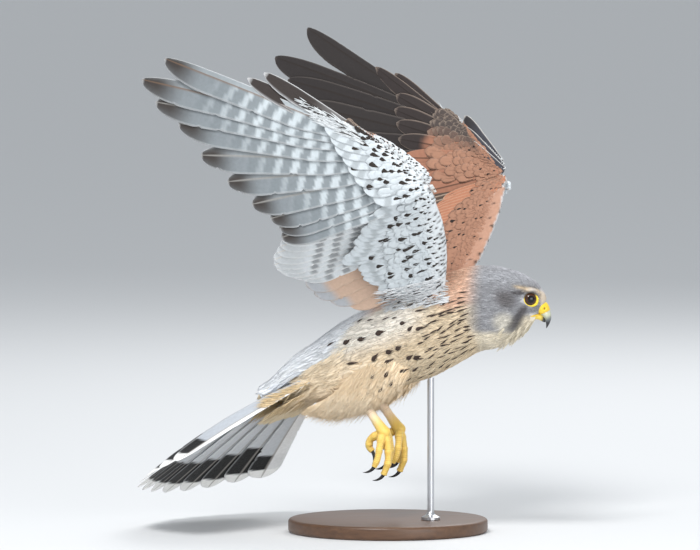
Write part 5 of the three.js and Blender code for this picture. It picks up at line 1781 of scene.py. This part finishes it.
def buildBill():
    cere = billRings(cereSteps, 30, 56)
    tint = flood(cere[..., 0], 238, 200, 52).copy()
    for side in (1, -1):
        hole = onHead(11.4, -7.4, side * 6.3)
        gap = np.linalg.norm((cere - hole) * np.array([1, 0.7, 1]), axis=-1)
        cere = cere - (np.array([0, side, 0.0]) * (1.1 * np.exp(-(gap / 1.0) ** 2))[..., None])
        cere = cere + (np.array([0, side, 0.0]) * (0.35 * np.exp(-((gap - 1.9) / 0.6) ** 2))[..., None])
        # painted shade: each nostril opening is painted dark inside the hole
        tint = blend(tint, tone(46, 34, 18), np.exp(-(gap / 0.85) ** 4) * 0.95)
    front = step(0.7, 1, np.linspace(0, 1, 30))[:, None] * np.ones((1, 56))
    tint = blend(tint, tone(206, 176, 70), front * 0.5)
    finishPiece(tube("cere", cere, tint), "cere_skin", yellowMaterial, "skin_yellow", "cere")
    upper = billRings(upperSteps, 60, 56)
    along = np.linspace(0, 5, 60)[:, None]
    low = np.clip(-np.cos(2 * np.pi * np.arange(56) / 56 - np.pi / 2), 0, 1)[None, :] ** 3
    tooth = -0.75 * np.exp(-((along - 2.75) / 0.3) ** 2) + 0.5 * np.exp(-((along - 3.35) / 0.22) ** 2)
    upper[..., 2] += tooth * low
    grey = step(1.4, 2.8, along) * np.ones((1, 56))
    tint = blend(flood(upper[..., 0], 196, 198, 172), tone(104, 110, 112), grey)
    tint = blend(tint, tone(26, 26, 30), step(2.5, 3.8, along) * np.ones((1, 56)))
    finishPiece(tube("billUpper", upper, tint), "bill_upper_horn", hornMaterial, "horn", "bill_upper")
    lower = billRings(lowerSteps, 44, 48)
    along = np.linspace(0, 4, 44)[:, None]
    dark = step(1.7, 2.9, along) * np.ones((1, 48))
    tint = blend(flood(lower[..., 0], 232, 204, 84), tone(52, 52, 52), dark)
    finishPiece(tube("billLower", lower, tint), "bill_lower_horn", hornMaterial, "horn", "bill_lower")
    for side, word in sides:
        corners = ((8.2, -12.2, 4.3), (3.5, -12.4, 7.6), (-2.6, -13.0, 11.2))
        line = smoothLine([onHead(a, b, side * out) for a, b, out in corners], 24)
        size = np.interp(np.linspace(0, 1, 24), (0, 0.3, 0.8, 1), (0.5, 0.9, 0.8, 0.25))
        rings = limbRings(line, size, 14, (0, 0, 1))
        gape = tube("gape", rings, flood(rings[..., 0], 234, 198, 60))
        finishPiece(gape, "gape_" + word, yellowMaterial, "skin_yellow")


buildBill()
stage("cere and bill")


# scaled legs, toes and claws
legSet = {
    "tarsus": ((-99, 15, -50), (-95.5, 15, -63), (-92, 15, -75), (-88, 15, -87.5)),
    "tarsusRadius": (4.6, 3.7, 3.3, 4.6),
    "toes": {
        "3": (((0, 0, -3.5), (-1.4, 0.5, -13.5), (-4.8, 1, -22.4), (-10.8, 1, -29.3)), 2.7),
        "1": (((-5, -0.5, 0), (-12.8, -1, -1.6), (-15.6, -1.5, -6.4), (-14.4, -1.5, -10.2)), 2.7),
        "2": (((0.2, -3.5, -2.5), (-1.5, -7, -10.5), (-5, -8.5, -17.5), (-10, -8.5, -22.2)), 2.5),
        "4": (((-1.5, 3.5, -2), (-5, 6.5, -10), (-8.5, 8, -17), (-13, 8.5, -22)), 2.5),
    },
    "clawLength": 11, "clawCurl": 1.35, "scute": 1.35, "pad": 4.7, "yellow": (234, 198, 100),
    "pale": (238, 216, 192),
}


def scaledLimb(name, points, radii, count, colour, pale, pads=0.0, foot=None):
    line = smoothLine(points, count)
    run = runAlong(line)
    size = np.interp(np.linspace(0, len(points) - 1, count), range(len(points)), radii)
    around = 28
    rings = limbRings(line, size, around)
    centre = line[:, None]
    a = 2 * np.pi * np.arange(around) / around
    front = 0.5 + 0.5 * np.cos(a)[None, :]
    row = np.floor(run / legSet["scute"])[:, None]
    edge = np.abs(np.mod(run / legSet["scute"], 1) - 0.5)[:, None] * 2
    plate = 1 - 0.11 * edge ** 6 * (0.5 + front)
    pebble = 1 + 0.035 * np.sin(a * 9 + row * 1.7)[...] * (1 - front)
    swell = 1 + pads * np.exp(-((np.mod(run / 8.5, 1) - 0.5) / 0.22) ** 2)[:, None] * (1 - front)
    rings = centre + (rings - centre) * (plate * pebble * swell)[..., None]
    tint = blend(flood(rings[..., 0], *colour), tone(*pale), front * 0.5 * np.ones((count, 1)))
    tint = blend(tint, tone(176, 132, 36), edge ** 6 * 0.55 * np.ones((1, around)))
    if foot:
        tint = blend(tint, tone(*foot), step(0.5, 0.95, run / run[-1])[:, None] * np.ones((1, around)))
    return tube(name, rings, tint)


def buildLeg(side, word):
    c = legSet
    base = np.array(c["tarsus"][3], float)
    points = inTrunk(c["tarsus"], side)
    shank = scaledLimb("tarsus", points, c["tarsusRadius"], 90, c["pale"], (246, 234, 204), foot=c["yellow"])
    finishPiece(shank, "leg_" + word, yellowMaterial, "skin_yellow", "tarsus_" + word)
    pad = ballAt(inTrunk(base, side), c["pad"], 32, 20)
    bpy.ops.object.shade_smooth()
    paintPoints(pad.data, np.tile(tone(*c["yellow"]), (len(pad.data.vertices), 1)))
    finishPiece(pad, "foot_pad_" + word, yellowMaterial, "skin_yellow")
    for name, (steps, r) in c["toes"].items():
        joints = inTrunk(base + np.array(steps, float), side)
        joints = np.vstack([joints[0] - (joints[1] - joints[0]) * 0.12, joints[1:]])
        toe = scaledLimb("toe", joints, (r * 1.2, r, r * 0.95, r * 0.8), 80, c["yellow"], c["pale"], 0.24)
        finishPiece(
            toe, "toe_%s_scutes_%s" % (name, word), yellowMaterial, "skin_yellow", "toe_%s_%s" % (name, word),
        )
        ahead = unit(joints[3] - joints[2])
        curl = np.array([0.25, 0, -0.97]) if name == "1" else np.array([-1, 0, 0.1])
        bend = unit(curl - ahead * (curl @ ahead))
        u = np.linspace(0, 1, 36)
        radius, turned = c["clawLength"] / c["clawCurl"], c["clawCurl"] * u
        arc = joints[3] + ahead * (radius * np.sin(turned) - 1)[:, None]
        arc = arc + bend * (radius * (1 - np.cos(turned)))[:, None]
        rings = limbRings(arc, np.interp(u, (0, 0.3, 0.65, 1), (1.5, 1.25, 0.8, 0.1)), 18)
        foot = (1 - step(0, 0.25, u))[:, None] * np.ones((1, 18))
        tint = blend(flood(rings[..., 0], 24, 23, 26), tone(74, 66, 60), foot)
        claw = tube("claw", rings, tint)
        finishPiece(claw, "talon_%s_%s" % (name, word), hornMaterial, "horn", "claw_%s_%s" % (name, word))


for side, word in sides:
    buildLeg(side, word)
stage("legs, toes and claws")


# display stand
def standMaterial(name, roughness, stretched, grainSet, gloss, bump, **sockets):
    material, tree, shader = newMaterial(name, roughness, **sockets)
    place = node(tree, "TexCoord")
    stretch = node(tree, "Mapping")
    stretch.inputs["Scale"].default_value = stretched
    grain = node(tree, "TexNoise", **grainSet)
    wire(tree, (place, "Object", stretch, "Vector"), (stretch, "Vector", grain, "Vector"))
    ranged(tree, grain, *gloss, shader, "Roughness")
    bumped(tree, shader, grain, *bump)
    return material, tree, shader, grain


def woodMaterial():
    material, tree, shader, grain = standMaterial(
        "darkWood", 0.42, (10, 120, 120), {"Scale": 3.0, "Detail": 8.0, "Distortion": 0.6},
        (0.35, 0.55), (0.0002, 0.4),
        Coat_Weight=0.15, Coat_Roughness=0.3,
    )
    ramp = node(tree, "ValToRGB")
    ramp.color_ramp.elements[0].color = (*tone(58, 38, 26), 1)
    ramp.color_ramp.elements[1].color = (*tone(112, 80, 56), 1)
    wire(tree, (grain, "Fac", ramp, "Fac"), (ramp, "Color", shader, "Base Color"))
    return material


def steelMaterial():
    material, _, shader, _ = standMaterial(
        "brushedSteel", 0.3, (900, 900, 20), {"Scale": 1.0, "Detail": 3.0}, (0.22, 0.4), (0.00003, 0.3),
        Metallic=1.0,
    )
    shader.inputs["Base Color"].default_value = (*tone(196, 198, 202), 1)
    return material


standSet = {"rounding": 2.4}


def buildStand():
    (x0, y0, z0), (x1, y1, z1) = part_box("stand_base")
    middle = ((x0 + x1) / 2, (y0 + y1) / 2, (z0 + z1) / 2)
    bpy.ops.mesh.primitive_cylinder_add(vertices=160, radius=(x1 - x0) / 2, depth=z1 - z0, location=middle)
    base = bpy.context.object
    edge = base.modifiers.new("edge", "BEVEL")
    edge.width = standSet["rounding"] * mm
    edge.segments = 5
    edge.limit_method = "ANGLE"
    bpy.ops.object.modifier_apply(modifier=edge.name)
    bpy.ops.object.shade_smooth_by_angle(angle=math.radians(35))
    finishPiece(base, "base_disc", woodMaterial(), "wood_dark", "stand_base")
    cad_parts["stand_rod"].data.materials.clear()
    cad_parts["stand_rod"].data.materials.append(steelMaterial())


buildStand()
stage("stand")


# size and end
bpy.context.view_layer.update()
triangles = sum(len(p.vertices) - 2 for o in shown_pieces() if o.type == "MESH" for p in o.data.polygons)
stage("%d triangles in all" % triangles)
